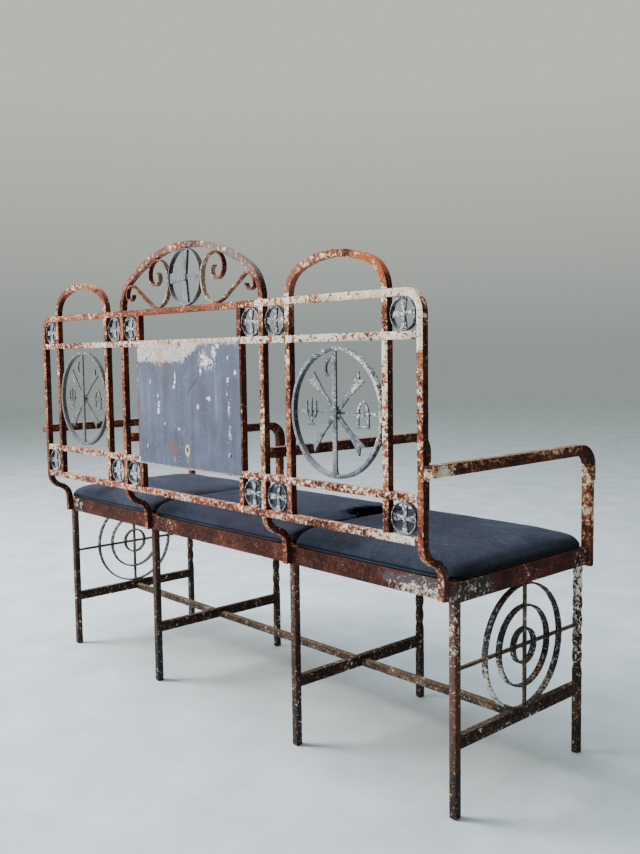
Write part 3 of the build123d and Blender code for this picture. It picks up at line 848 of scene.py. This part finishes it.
def makeFrontLeg(spot, seed):
    # a rounded square carried up the leg, turning evenly over the twist and eased in at the foot
    nodeName = f"front_leg_{spot}"
    low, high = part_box(nodeName)
    centre = (low + high) / 2
    section = roundedSquare(leg["half"] * mm, leg["corner"] * mm, leg["cornerPoints"])
    height = np.linspace(0, high.z, leg["steps"])
    share = np.clip((height / mm - leg["twistLow"]) / (leg["twistHigh"] - leg["twistLow"]), 0, 1)
    angle = -2 * np.pi * leg["turns"] * share
    x = np.outer(np.cos(angle), section[:, 0]) - np.outer(np.sin(angle), section[:, 1])
    y = np.outer(np.sin(angle), section[:, 0]) + np.outer(np.cos(angle), section[:, 1])
    foot = leg["footShare"]
    ease = np.clip(height / (leg["footRise"] * mm), 0, 1)[:, None] * (1 - foot) + foot
    z = np.repeat(height[:, None], len(section), axis=1)
    points = np.stack([centre.x + x * ease, centre.y + y * ease, z], axis=-1).reshape(-1, 3)
    faces = gridFaces(leg["steps"], len(section)).tolist()
    faces.append(list(range(len(section)))[::-1])
    last = (leg["steps"] - 1) * len(section)
    faces.append([last + i for i in range(len(section))])
    mesh = meshFrom("frontLeg", points, faces)
    wear(mesh, leg["pits"] * mm, seed)
    place(pieceName(nodeName), mesh, legFinish, [nodeName])


for seed, spot in enumerate(sideFrames):
    makeFrontLeg(spot, 300 + seed)
print("twisted legs made")


# rings


ringSoftness = 0.45  # share of a ring's section that its rounded corners take
ringPits = 0.35


def ringMesh(centre, axis, outer, wall, depth, segments):
    # a rounded rectangle, wall by depth, carried round a circle about the axis
    section = roundedSquare(0.5, 0.5 * ringSoftness, 4)
    radial = outer - wall / 2 + section[:, 0] * wall
    across = section[:, 1] * depth
    turn = np.linspace(0, 2 * np.pi, segments, endpoint=False)
    first = np.outer(np.cos(turn), radial)
    second = np.outer(np.sin(turn), radial)
    third = np.repeat(across[None, :], segments, axis=0)
    order = (third, first, second) if axis == "X" else (first, -third, second)
    points = np.stack(order, axis=-1).reshape(-1, 3) + np.array(centre)
    faces = gridFaces(segments, len(section), closeRows=True)[:, ::-1]
    return points, faces


def joined(name, parts):
    # one mesh from several sets of points and faces
    points, faces, start = [], [], 0
    for somePoints, someFaces in parts:
        points.append(somePoints)
        faces += [[index + start for index in face] for face in someFaces]
        start += len(somePoints)
    return meshFrom(name, np.concatenate(points), faces)


def islands(nodeName):
    # low and high corners of each separate solid in a node: labels spread along edges until they settle
    mesh = cleanCopy(nodeName)
    points = readPoints(mesh)
    edges = np.empty(len(mesh.edges) * 2, np.int32)
    mesh.edges.foreach_get("vertices", edges)
    bpy.data.meshes.remove(mesh)
    first, second = edges.reshape(-1, 2).T
    labels, settled = np.arange(len(points)), False
    while not settled:
        spread = labels.copy()
        smallest = np.minimum(labels[first], labels[second])
        np.minimum.at(spread, first, smallest)
        np.minimum.at(spread, second, smallest)
        settled = bool((spread == labels).all())
        labels = spread
    groups = [points[labels == label] for label in np.unique(labels)]
    return [(group.min(axis=0), group.max(axis=0)) for group in groups]


# axis, wall in millimetres, finish, slot and number of segments
rings = {
    "small_rings": ("Y", 2.5, crossesFinish, "ornament_iron", 72),
    "lunette_ring": ("Y", 3.5, lunetteFinish, "ornament_iron", 120),
    "medallion_rings": ("Y", 9.0, wheelFinish, "ornament_iron", 180),
    "end_rings": ("X", 4.5, endRingFinish, "end_ring_iron", 160),
}


def makeRings():
    for seed, (nodeName, (axis, wallMm, finish, slotName, segments)) in enumerate(rings.items()):
        parts = []
        for low, high in islands(nodeName):
            centre = (low + high) / 2
            outer = (high[2] - low[2]) / 2
            depth = high[0] - low[0] if axis == "X" else high[1] - low[1]
            parts.append(ringMesh(centre, axis, outer, wallMm * mm, depth, segments))
        mesh = joined(nodeName, parts)
        wear(mesh, ringPits * mm, 500 + seed)
        place(pieceName(nodeName), mesh, finish, [nodeName])


makeRings()
print("rings made")


# welds


weld = {"rows": 14, "sides": 22, "rough": 0.16, "armX": 724, "ringX": 731, "outerReach": 100}


def lump(centre, size, seed):
    # a sphere of latitude rows, stretched to the size, with noise along the radius
    up = np.linspace(-np.pi / 2, np.pi / 2, weld["rows"])[1:-1]
    turn = np.linspace(0, 2 * np.pi, weld["sides"], endpoint=False)
    rows = [np.outer(np.cos(up), np.cos(turn)), np.outer(np.cos(up), np.sin(turn))]
    rows.append(np.outer(np.sin(up), np.ones_like(turn)))
    ball = np.stack(rows, axis=-1)
    ball = np.concatenate([ball.reshape(-1, 3), [[0, 0, -1], [0, 0, 1]]])
    rough = 1 + weld["rough"] * latticeNoise(ball + seed * 3.7, 0.7, seed)
    points = ball * rough[:, None] * np.array(size) * mm + np.array(centre) * mm
    faces = gridFaces(weld["rows"] - 2, weld["sides"]).tolist()
    last = (weld["rows"] - 3) * weld["sides"]
    for a in range(weld["sides"]):
        b = (a + 1) % weld["sides"]
        faces.append([b, a, len(points) - 2])
        faces.append([last + a, last + b, len(points) - 1])
    return points, faces


def makeWelds():
    armPlaces, ringPlaces = [], []
    for side in (-1, 1):
        armPlaces.append(((side * weld["armX"], 253, 661), (6, 8, 4)))
        armPlaces.append(((side * weld["armX"], 252, 642), (6, 9, 5)))
        ringX = side * weld["ringX"]
        for low, high in islands("end_rings"):
            if (low[0] > 0) != (side > 0):
                continue
            y, z = (low[1] + high[1]) / 2 / mm, (low[2] + high[2]) / 2 / mm
            reach = (high[2] - low[2]) / 2 / mm - 2
            ringPlaces.append(((ringX, y + reach, z), (6, 6, 6)))
            ringPlaces.append(((ringX, y - reach, z), (6, 5, 5)))
            if reach < weld["outerReach"]:
                ringPlaces.append(((ringX, y, z + reach), (5, 5, 5)))
            ringPlaces.append(((ringX, y, z - reach), (5, 6, 5)))
        ringPlaces.append(((ringX, -25, 283), (6, 6, 6)))
    for name, places, finish, slotName in (
        ("armWelds", armPlaces, armFinish, "arm_iron"),
        ("ringWelds", ringPlaces, endRodFinish, "end_ring_iron"),
    ):
        parts = [lump(centre, size, seed) for seed, (centre, size) in enumerate(places)]
        place(name, joined(name, parts), finish)


makeWelds()
print("welds made")


# finish on the CAD nodes that keep their own mesh


kept = {"seat_bearers": seatRailFinish, "end_rods": endRodFinish, "medallion_rods": wheelFinish}
for nodeName, finish in kept.items():
    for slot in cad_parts[nodeName].material_slots:
        slot.material = finish


# plate and its rivets


plate = {
    "front": 261.9,
    "rear": 262.7,
    "step": 6.0,
    "wave": 0.25,
    "waveMm": 110,
    "ragged": 0.9,
    "raggedMm": 13,
    "field": "#525c74",
    "fieldDeep": "#454c62",
    "pale": "#747c93",
    "peel": "#d5d5d6",
    "peelStain": "#c3a48f",
    "lilac": "#8b8e9d",
    "rimRust": "#8f5c40",
    "rimPaint": "#e6dabd",
    "foot": "#b9aaa2",
    "tan": "#b0845c",
    "wash": "#9aa1b4",
    "ground": "#e6e6e3",
    "run": "#b7ab96",
    "rustSpot": "#74463a",
    "filler": "#e0d2b0",
    "holeRust": "#8a4a2c",
    # painted shade for the opening of the empty rivet hole
    "dark": "#2b1a14",
    "scratch": "#2c2f38",
    # worn places: x, z, half width and half height in millimetres
    "chips": (
        (-85, 845, 26, 15), (-72, 858, 14, 12), (-112, 868, 10, 16), (-126, 882, 7, 7), (-62, 827, 5, 8),
        (42, 813, 5, 9), (44, 799, 5, 8), (49, 789, 4, 5), (118, 766, 3, 7), (115, 746, 5, 10),
        (117, 730, 7, 8), (-164, 806, 4, 8), (-160, 776, 3, 7), (-166, 742, 4, 16), (-168, 692, 4, 14),
        (-190, 822, 5, 7), (150, 800, 3, 6), (30, 690, 3, 4), (-90, 765, 8, 5), (90, 700, 3, 4),
        (-50, 745, 4, 6),
    ),
    "rustSpots": (
        (52, 643, 23, 22), (66, 893, 14, 8), (22, 889, 12, 14), (-1, 605, 8, 9), (-37, 601, 7, 7),
        (-61, 612, 8, 7), (-166, 600, 9, 8), (204, 884, 4, 8), (-205, 893, 3, 6), (-205, 604, 4, 8),
    ),
    "tanStains": ((104, 866, 26, 54), (86, 893, 44, 14), (-40, 893, 60, 9)),
    "washes": ((-8, 765, 13, 85), (-120, 760, 10, 90), (60, 720, 8, 110)),
    "runs": ((52, 618, 7, 26), (52, 642, 15, 15), (-4, 625, 5, 20)),
    # centre and half sizes in millimetres
    "fillerSpot": ((-2, 262, 642), (9, 40, 13)),
    "holeRustSpot": ((-2, 262, 643), (6, 40, 8.5)),
    "holeSpot": ((-2, 262, 644), (2.8, 40, 4)),
    "scratchSpot": ((-29, 262, 793), (32, 40, 28)),
    "scratchAcross": (0.661, 0, 0.751),  # the scratch lies this far from the origin, measured this way
    "scratchFrom": 576.3,
    "sharp": 50,  # degrees above which an edge is drawn sharp
}
rivet = {
    "radius": 5.2,
    "height": 1.35,
    "sunk": 0.1,
    "edge": 45.0,
    "pitch": 167.0,
    "rings": 7,
    "sides": 24,
    # painted shade and painted highlight: the first colour darkens the -X side of each head, the second
    # lightens the +X side
    "grime": "#24262d",
    "paint": "#d5d9df",
}


def marks(tree, where, ragged, places, soft=0.25):
    # 1 inside any of several upright ellipses of the plate, whose edges wander with the ragged noise; the
    # infinite size leaves y out of the distance
    total = 0.0
    for x, z, wide, high in places:
        length = farFrom(tree, where, (x, 0, z), (wide, math.inf, high))
        inside = add(tree, "MapRange", [weigh(tree, [(length, 1.0), (ragged, 6.0)]), 3.75, 3.75 - soft])
        total = add(tree, "Math", [total, inside], operation="MAXIMUM")
    return total


def makePlateFinish():
    # sheet iron brushed with chalky blue-grey paint that runs in faint upright streaks, peeled along its
    # top edge, stained by rust and chipped to the white ground
    material, tree, shader, where = newMaterial("chalkyPlate")
    upright = add(tree, "VectorMath", [where, (1, 1, 0.09)], operation="MULTIPLY")
    streak = grain(tree, upright, 24, 6, 0.66, 0.8)
    cloud = grain(tree, where, 120, 4, 0.55, 0.5)
    grit = grain(tree, where, 2.2, 3, 0.6)
    ragged = grain(tree, where, 11, 6, 0.7, 0.9, 2.2)
    specks = grain(tree, where, 5, 4, 0.7, 0.6, 4.4)
    tone = weigh(tree, [(streak, 0.42), (cloud, 0.42), (grit, 0.16)])
    x = add(tree, "SeparateXYZ", [where], "X")
    z = add(tree, "SeparateXYZ", [where], "Z")
    # the top edge has peeled most, and deepest towards the left end of the bench
    drop = add(tree, "MapRange", [x, 10 * mm, -60 * mm, 0, -40])
    band = weigh(tree, [(z, 1000.0), (drop, 1.0), (ragged, 50.0)])
    band = add(tree, "MapRange", [band, 871, 875])
    blotch = weigh(tree, [(grit, 0.4), (specks, 0.6)])
    stain = weigh(tree, [(blotch, 0.3), (ragged, 0.7)])
    peeled = [(blotch, 0.46, 0.54, 1, plate["peel"]), (stain, 0.52, 0.56, 1, plate["peelStain"])]
    rim = weigh(tree, [(z, 60.0), (ragged, 1.0)])
    foot = weigh(tree, [(z, -60.0), (ragged, 1.0)])
    # flecks all over, and larger chips at known places, show the white ground
    fleck = add(tree, "MapRange", [weigh(tree, [(specks, 0.8), (grit, 0.2)]), 0.645, 0.665])
    chips = marks(tree, where, specks, plate["chips"])
    white = add(tree, "Math", [fleck, chips], operation="MAXIMUM")
    hole = window(tree, where, *plate["holeSpot"])
    # the long scratch keeps within a millimetre or two of a slanting line
    across = [share / mm for share in plate["scratchAcross"]]
    line = add(tree, "VectorMath", [where, across], "Value", operation="DOT_PRODUCT")
    line = add(tree, "Math", [line, plate["scratchFrom"]], operation="SUBTRACT")
    line = add(tree, "Math", [line], operation="ABSOLUTE")
    line = add(tree, "MapRange", [line, 1.9, 0.9])
    near = window(tree, where, *plate["scratchSpot"])
    scratch = add(tree, "Math", [line, near], operation="MULTIPLY")
    colour = coats(tree, plate["fieldDeep"], [
        (tone, 0.44, 0.54, 1, plate["field"]),
        (tone, 0.55, 0.66, 0.8, plate["pale"]),
        (band, 0, 1, 1, coats(tree, plate["lilac"], peeled)),
        (rim, 53.98, 54.18, 1, coats(tree, plate["rimRust"], [(specks, 0.44, 0.54, 1, plate["rimPaint"])])),
        (foot, -35.62, -35.45, 0.7, plate["foot"]),
        (marks(tree, where, ragged, plate["tanStains"], 1.0), 0, 1, 0.85, plate["tan"]),
        (marks(tree, where, streak, plate["washes"], 1.6), 0, 1, 0.45, plate["wash"]),
        (white, 0, 1, 1, plate["ground"]),
        (marks(tree, where, ragged, plate["runs"], 1.2), 0, 1, 0.5, plate["run"]),
        (marks(tree, where, ragged, plate["rustSpots"], 0.6), 0, 1, 1, plate["rustSpot"]),
        # an empty rivet hole, rimmed with pale filler and rust; the opening itself is a dark spot of
        # painted shade
        (window(tree, where, *plate["fillerSpot"]), 0, 1, 1, plate["filler"]),
        (window(tree, where, *plate["holeRustSpot"]), 0, 1, 1, plate["holeRust"]),
        (hole, 0, 1, 1, plate["dark"]),
        (scratch, 0, 1, 1, plate["scratch"]),
    ])
    parts = [(band, -0.3), (cloud, 1.2), (streak, 0.5), (grit, 0.3), (white, 0.35), (hole, -1.0)]
    height = weigh(tree, parts)
    feed(tree, shader, {
        "Base Color": colour,
        "Roughness": 0.6,
        "Specular IOR Level": 0.35,
        "Normal": add(tree, "Bump", {"Strength": 0.8, "Distance": 1.0 * mm, "Height": height}),
    })
    return material


def sheet(low, high, front, rear):
    # two faces of a thin sheet on one grid; both follow the same slow waves and have slightly ragged edges
    columns = int((high.x - low.x) / (plate["step"] * mm)) + 1
    rows = int((high.z - low.z) / (plate["step"] * mm)) + 1
    x, z = np.meshgrid(np.linspace(low.x, high.x, columns), np.linspace(low.z, high.z, rows))
    flat = np.stack([x.ravel(), np.zeros(x.size), z.ravel()], axis=1)
    wave = (latticeNoise(flat, plate["waveMm"] * mm, 71) * plate["wave"] * mm).reshape(rows, columns)
    ragged = (latticeNoise(flat, plate["raggedMm"] * mm, 72) * plate["ragged"] * mm).reshape(rows, columns)
    x[:, 0] += np.abs(ragged[:, 0])
    x[:, -1] -= np.abs(ragged[:, -1])
    z[0] += np.abs(ragged[0])
    z[-1] -= np.abs(ragged[-1])
    faces = []
    points = []
    for number, y in enumerate((rear, front)):
        points.append(np.stack([x, y + wave, z], axis=-1).reshape(-1, 3))
        row, column = np.meshgrid(np.arange(rows - 1), np.arange(columns - 1), indexing="ij")
        corner = (row * columns + column).ravel() + number * rows * columns
        quads = np.stack([corner, corner + columns, corner + columns + 1, corner + 1], axis=1)
        faces.append(quads if number == 0 else quads[:, ::-1])
    # the rim joins the two faces
    size = rows * columns
    edge = np.concatenate([
        np.arange(columns),
        np.arange(1, rows) * columns + columns - 1,
        (rows - 1) * columns + np.arange(columns - 2, -1, -1),
        np.arange(rows - 2, 0, -1) * columns,
    ])
    following = np.roll(edge, -1)
    faces.append(np.stack([edge, following, following + size, edge + size], axis=1))
    return meshFrom("plateSheet", np.concatenate(points), np.concatenate(faces))


def dome(centre, radius, height):
    # half an ellipsoid facing +Y: rows of latitude shrink as the cosine and rise as the sine
    lift = np.linspace(0, np.pi / 2 * 0.96, rivet["rings"])
    turn = np.linspace(0, 2 * np.pi, rivet["sides"], endpoint=False)
    x = np.outer(np.cos(lift), np.cos(turn)) * radius
    z = np.outer(np.cos(lift), np.sin(turn)) * radius
    y = np.repeat((np.sin(lift) * height)[:, None], rivet["sides"], axis=1)
    points = np.stack([x, y, z], axis=-1).reshape(-1, 3) + np.array(centre)
    faces = gridFaces(rivet["rings"], rivet["sides"])[:, ::-1].tolist()
    faces.append(list(range(rivet["sides"])))
    faces.append([(rivet["rings"] - 1) * rivet["sides"] + i for i in range(rivet["sides"])][::-1])
    return points, faces


def makeRivetFinish():
    # round heads in the same paint, with painted light and shade: pale on the side turned to the key light
    # (+X), dark on the other, mottled by noise
    material, tree, shader, where = newMaterial("paintedRivets")
    side = add(tree, "SeparateXYZ", [add(tree, "NewGeometry", out="Normal")], "X")
    worn = weigh(tree, [(side, 0.5), (grain(tree, where, 5, 4, 0.6), 0.6)])
    colour = coats(tree, rivet["grime"], [(worn, 0.22, 0.42, 1, rivet["paint"])])
    feed(tree, shader, {"Base Color": colour, "Roughness": 0.45})
    return material


def makePlate():
    low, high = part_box("centre_plate")
    mesh = sheet(low, high, plate["front"] * mm, plate["rear"] * mm)
    place("centrePlate", mesh, makePlateFinish(), ["centre_plate"])
    mesh.set_sharp_from_angle(angle=math.radians(plate["sharp"]))
    upper = high.z - rivet["edge"] * mm
    lower = low.z + rivet["edge"] * mm
    pitch = rivet["pitch"] * mm
    base = (plate["rear"] - rivet["sunk"]) * mm
    spots = ((-pitch, upper), (0, upper), (pitch, upper), (-pitch, lower), (pitch, lower))
    heads = [dome((x, base, z), rivet["radius"] * mm, rivet["height"] * mm) for x, z in spots]
    place("plateRivets", joined("rivets", heads), makeRivetFinish())


makePlate()
print("plate and rivets made")


# seat pads


pad = {
    # past the CAD solid on each side: the pads reach the rails and press against each other
    "sides": {"end": 5.5, "butted": 1.6, "rear": 5.0, "front": 5.0},
    "swell": 2.5,  # left free round the blank for the cloth to fill
    "voxel": 5.0,
    "pressure": 4.0,
    "frames": 16,
    "cap": 3.0,
    "wall": 12.0,
    "shoulder": 60.0,
    "shoulderRows": 15,
    "around": 240,
    "buttedShare": 0.18,  # of the shoulder, where a pad meets its neighbour
    "edgeHeight": 31.0,
    "seamUp": 6.5,
    "seamDepth": 2.6,
    "seamWidth": 1.6,
    "squareness": 0.1,
    "crownPower": 2.6,
    "buttedPower": 12.0,
    "smallest": 0.06,  # share to which the rows that close the blank shrink
    "closingRows": 14,
    "topFrom": 14,  # height above the foot at which the creases begin
    "creaseMm": 70,
    "crease": 1.3,
    "crumpleMm": 24,
    "crumple": 0.5,
    "edge": 8.0,
    "hem": 8.5,
    "proud": 1.2,
    "cloth": "#252b3a",
    "clothPale": "#434d63",
    # painted shade for the cloth's sides and underside
    "worn": "#0f0c10",
    "plum": "#302a3c",
    "lint": "#98a1b3",
    "sheen": "#9fb4d8",
    "hollow": "#020203",
    # painted shade in the seam groove
    "seam": "#050507",
    "threadMm": 0.9,  # coarser than the real thread, so that the weave shows
    "tear": (-246, -92, 480),  # on the middle pad, by its seam with the next pad: a near-black patch without gloss, where the cloth also sinks a little
    "blackPatchSize": (42, 88, 60),
    "blackPatchSink": 2.0,
}


def makeClothFinish():
    # woven upholstery cloth, dusty on top and darkened by painted shade on its sides and underside, with a
    # seam near its foot
    material, tree, shader, where = newMaterial("navyCloth")
    cloud = grain(tree, where, 110, 5, 0.62, 0.8)
    nap = grain(tree, where, 7, 6, 0.72, 0.5, 2.0)
    faces = add(tree, "NewGeometry", out="Normal")
    sideways = add(tree, "SeparateXYZ", [faces], "X")
    upward = add(tree, "SeparateXYZ", [faces], "Z")
    # painted shade: faces turned down and sideways, most of all towards -X, take the darkest cloth colour,
    # edged raggedly by the nap
    shadedSides = weigh(tree, [(upward, -1.0), (sideways, -0.9), (nap, 1.1)])
    lint = add(tree, "MapRange", [grain(tree, where, 4.5, 4, 0.6, 2.0, 4.0), 0.63, 0.68])
    topShare = add(tree, "MapRange", [upward, 0.7, 0.95, 0, 0.7])
    lint = add(tree, "Math", [lint, topShare], operation="MULTIPLY")
    blackPatch = window(tree, where, pad["tear"], pad["blackPatchSize"], nap)
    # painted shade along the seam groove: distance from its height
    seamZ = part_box("seat_pad_centre")[0].z + pad["seamUp"] * mm
    fromSeam = add(tree, "Math", [seamZ, add(tree, "SeparateXYZ", [where], "Z")], operation="SUBTRACT")
    fromSeam = add(tree, "Math", [fromSeam], operation="ABSOLUTE")
    groove = add(tree, "MapRange", [fromSeam, 1.6 * mm, 0.6 * mm])
    colour = coats(tree, pad["cloth"], [
        (weigh(tree, [(cloud, 0.5), (nap, 0.5)]), 0.4, 0.64, 1, pad["clothPale"]),
        (grain(tree, where, 160, 3, 0.5, 0.3, 6.0), 0.46, 0.6, 0.5, pad["plum"]),
        (shadedSides, 0.1, 0.85, 1, pad["worn"]),
        (lint, 0, 1, 1, pad["lint"]),
        (blackPatch, 0, 1, 1, pad["hollow"]),
        (groove, 0, 1, 1, pad["seam"]),
    ])
    thread = {"Vector": where, "Scale": 0.314 / (pad["threadMm"] * mm), "Distortion": 0.4}
    weave = [(add(tree, "TexWave", thread, "Fac", bands_direction=way), 0.4) for way in ("X", "Y")]
    weave += [(nap, 1.6), (groove, -1.5)]
    feed(tree, shader, {
        "Base Color": colour,
        "Roughness": 0.93,
        "Specular IOR Level": add(tree, "MapRange", [blackPatch, 0, 1, 0.2, 0]),
        "Sheen Weight": add(tree, "MapRange", [blackPatch, 0, 1, 0.1, 0]),
        "Sheen Roughness": 0.5,
        "Sheen Tint": pad["sheen"],
        "Normal": add(tree, "Bump", {"Strength": 0.6, "Distance": 1.0 * mm, "Height": weigh(tree, weave)}),
    })
    return material


clothFinish = makeClothFinish()


def padProfile():
    # inset from the pad's outline and height above its foot: underside, seam, wall and shoulder
    wall, seam, depth = pad["wall"], pad["seamUp"], pad["seamDepth"]
    rows = [(26, 0), (12, 0), (4, 0), (1.2, 0.3), (0.2, 1.6), (0, 3.6), (depth * 0.6, seam - 1.2)]
    rows += [(depth, seam), (depth * 0.6, seam + 1.2), (0, seam + 3.4), (0, wall)]
    # the shoulder is a quarter of an ellipse
    rise = pad["edgeHeight"] - wall
    for turn in np.linspace(0, np.pi / 2, pad["shoulderRows"])[1:]:
        rows.append((pad["shoulder"] * (1 - np.cos(turn)), wall + rise * np.sin(turn)))
    return np.array(rows) * mm


def softBlank(low, high, butted):
    # rows of a rounded rectangle follow the profile; the crown adds (1 - u^p)(1 - v^q) over the whole top.
    # Towards a butted end (-1 or +1 along X) the shoulder is short and p is high
    middle = (low + high) / 2
    half = (high - low) / 2
    sides = pad["around"]
    around = np.linspace(0, 2 * np.pi, sides, endpoint=False)
    across = np.sign(np.cos(around)) * np.abs(np.cos(around)) ** pad["squareness"]
    deep = np.sign(np.sin(around)) * np.abs(np.sin(around)) ** pad["squareness"]
    profile = padProfile()
    wall, rise, top = pad["wall"] * mm, (pad["edgeHeight"] - pad["wall"]) * mm, profile[-1, 1]
    near = np.isin(np.sign(across), butted)
    rows = []
    for inset, height in profile:
        short = inset * np.where(near & (height > wall), pad["buttedShare"], 1.0)
        row = [(half[0] - short) * across, (half[1] - inset) * deep, np.full(sides, height)]
        rows.append(np.stack(row, axis=1))
    # shrunken copies of the first and last rows close the underside and the top
    first, last = rows[0], rows[-1]
    rows = [first * (share, share, 1) for share in (pad["smallest"], 0.4, 0.75)] + rows
    shares = np.linspace(1, pad["smallest"], pad["closingRows"])[1:]
    rows += [last * (share, share, 1) for share in shares]
    points = np.concatenate(rows + [np.array([[0, 0, 0], [0, 0, top]])])
    u, v = np.abs(points[:, 0] / half[0]), np.abs(points[:, 1] / half[1])
    power = np.where(np.isin(np.sign(points[:, 0]), butted), pad["buttedPower"], pad["crownPower"])
    crown = np.clip(1 - u**power, 0, 1) * np.clip(1 - v ** pad["crownPower"], 0, 1)
    above = np.clip((points[:, 2] - wall) / rise, 0, 1)
    points[:, 2] += crown * above * (high[2] - low[2] - pad["edgeHeight"] * mm)
    # triangles close the first and last rows onto a point each
    ring = np.arange(sides)
    following = (ring + 1) % sides
    under = np.full(sides, len(points) - 2)
    upper = (len(rows) - 1) * sides
    faces = gridFaces(len(rows), sides).tolist()
    faces += np.stack([following, ring, under], axis=1).tolist()
    faces += np.stack([upper + ring, upper + following, under + 1], axis=1).tolist()
    return meshFrom("padBlank", points + np.array([middle[0], middle[1], low[2]]), faces)


def inflate(mesh):
    # blows the blank up as cloth under pressure, then holds each point within the cap
    start = readPoints(mesh)
    helper = bpy.data.objects.new("padCloth", mesh)
    bpy.context.scene.collection.objects.link(helper)
    modifier = helper.modifiers.new("cloth", "CLOTH")
    modifier.settings.use_pressure = True
    modifier.settings.uniform_pressure_force = pad["pressure"]
    modifier.settings.effector_weights.gravity = 0
    modifier.settings.quality = 5
    scene = bpy.context.scene
    scene.frame_start, scene.frame_end = 1, pad["frames"]
    for number in range(1, pad["frames"] + 1):
        scene.frame_set(number)
    moved = evaluated(helper)
    scene.frame_set(1)
    bpy.data.objects.remove(helper)
    points = readPoints(moved)
    travel = points - start
    length = np.linalg.norm(travel, axis=1, keepdims=True)
    points = start + travel * np.minimum(1, pad["cap"] * mm / np.maximum(length, 1e-9))
    writePoints(moved, points)
    return moved


def makePad(spot):
    nodeName = f"seat_pad_{spot}"
    low, high = (np.array(corner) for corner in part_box(nodeName))
    outLow, outHigh = low.copy(), high.copy()
    outLow[1] -= pad["sides"]["front"] * mm
    outHigh[1] += pad["sides"]["rear"] * mm
    outLow[0] -= pad["sides"]["end" if spot == "right" else "butted"] * mm
    outHigh[0] += pad["sides"]["end" if spot == "left" else "butted"] * mm
    inset = np.array([pad["swell"], pad["swell"], 0]) * mm
    butted = {"right": (1,), "centre": (-1, 1), "left": (-1,)}[spot]
    blank = softBlank(outLow + inset, outHigh - inset, butted)
    mesh = modified(blank, "REMESH", mode="VOXEL", voxel_size=pad["voxel"] * mm)
    mesh = inflate(mesh)
    mesh = modified(mesh, "SUBSURF", levels=1, render_levels=1)
    points = readPoints(mesh)
    rise = points[:, 2] - low[2]
    # the foot of the wall is drawn out to the edge of the rails and tucked in at the seam
    middle = (outLow + outHigh) / 2
    edge = pad["edge"] * mm
    for axis in (0, 1):
        half = (outHigh[axis] - outLow[axis]) / 2
        apart = points[:, axis] - middle[axis]
        spare = half - np.abs(apart)
        pull = np.clip(1.5 - rise / (pad["wall"] * mm), 0, 1) * np.clip(2 - spare / edge, 0, 1)
        fromSeam = (rise - pad["seamUp"] * mm) / (pad["seamWidth"] * mm)
        groove = np.exp(-(fromSeam**2)) * pad["seamDepth"] * mm
        points[:, axis] += np.sign(apart) * (spare - groove * (spare < edge)) * np.clip(pull, 0, 1)
    # slack cloth on top lies in slow creases and sinks under the black patch
    aloft = rise - pad["topFrom"] * mm
    crease = latticeNoise(points, pad["creaseMm"] * mm, 41) * pad["crease"] * mm
    crease += latticeNoise(points, pad["crumpleMm"] * mm, 43) * pad["crumple"] * mm
    points[:, 2] += crease * np.clip(aloft / (8 * mm), 0, 1)
    if spot == "centre":
        fromBlackPatch = (points / mm - pad["tear"]) / pad["blackPatchSize"]
        sag = np.clip(1.15 - np.linalg.norm(fromBlackPatch[:, :2], axis=1), 0, 0.35) / 0.35
        points[:, 2] -= sag * pad["blackPatchSink"] * mm * np.clip(aloft / (10 * mm), 0, 1)
    points = np.clip(points, outLow, outHigh + np.array([0, 0, pad["proud"] * mm]))
    # the underside folds in round the board and lies on its upper face
    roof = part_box("pad_boards")[1].z + 0.6 * mm
    reach = np.minimum(points[:, :2] - outLow[:2], outHigh[:2] - points[:, :2]).min(axis=1)
    rim = pad["hem"] * mm
    under = (points[:, 2] < roof) & (reach > rim)
    tuck = np.clip((reach - rim) / (3 * mm), 0, 1)
    lifted = np.maximum(points[:, 2], low[2] + tuck * (roof - low[2]))
    points[:, 2] = np.where(under, lifted, points[:, 2])
    writePoints(mesh, points)
    piece = place(pieceName(nodeName), mesh, clothFinish, [nodeName])


for spot in ("right", "centre", "left"):
    makePad(spot)
print("pads made")


# boards


def makeBoardFinish():
    # plywood: pale rotary-cut face with long grain
    material, tree, shader, where = newMaterial("plywood")
    along = add(tree, "VectorMath", [where, (0.06, 1, 1)], operation="MULTIPLY")
    figure = grain(tree, along, 6, 5, 0.6, 1.2)
    colour = coats(tree, "#8a6a48", [(figure, 0.35, 0.65, 1, "#b8976c")])
    feed(tree, shader, {"Base Color": colour, "Roughness": 0.75})
    return material


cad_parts["pad_boards"].material_slots[0].material = makeBoardFinish()
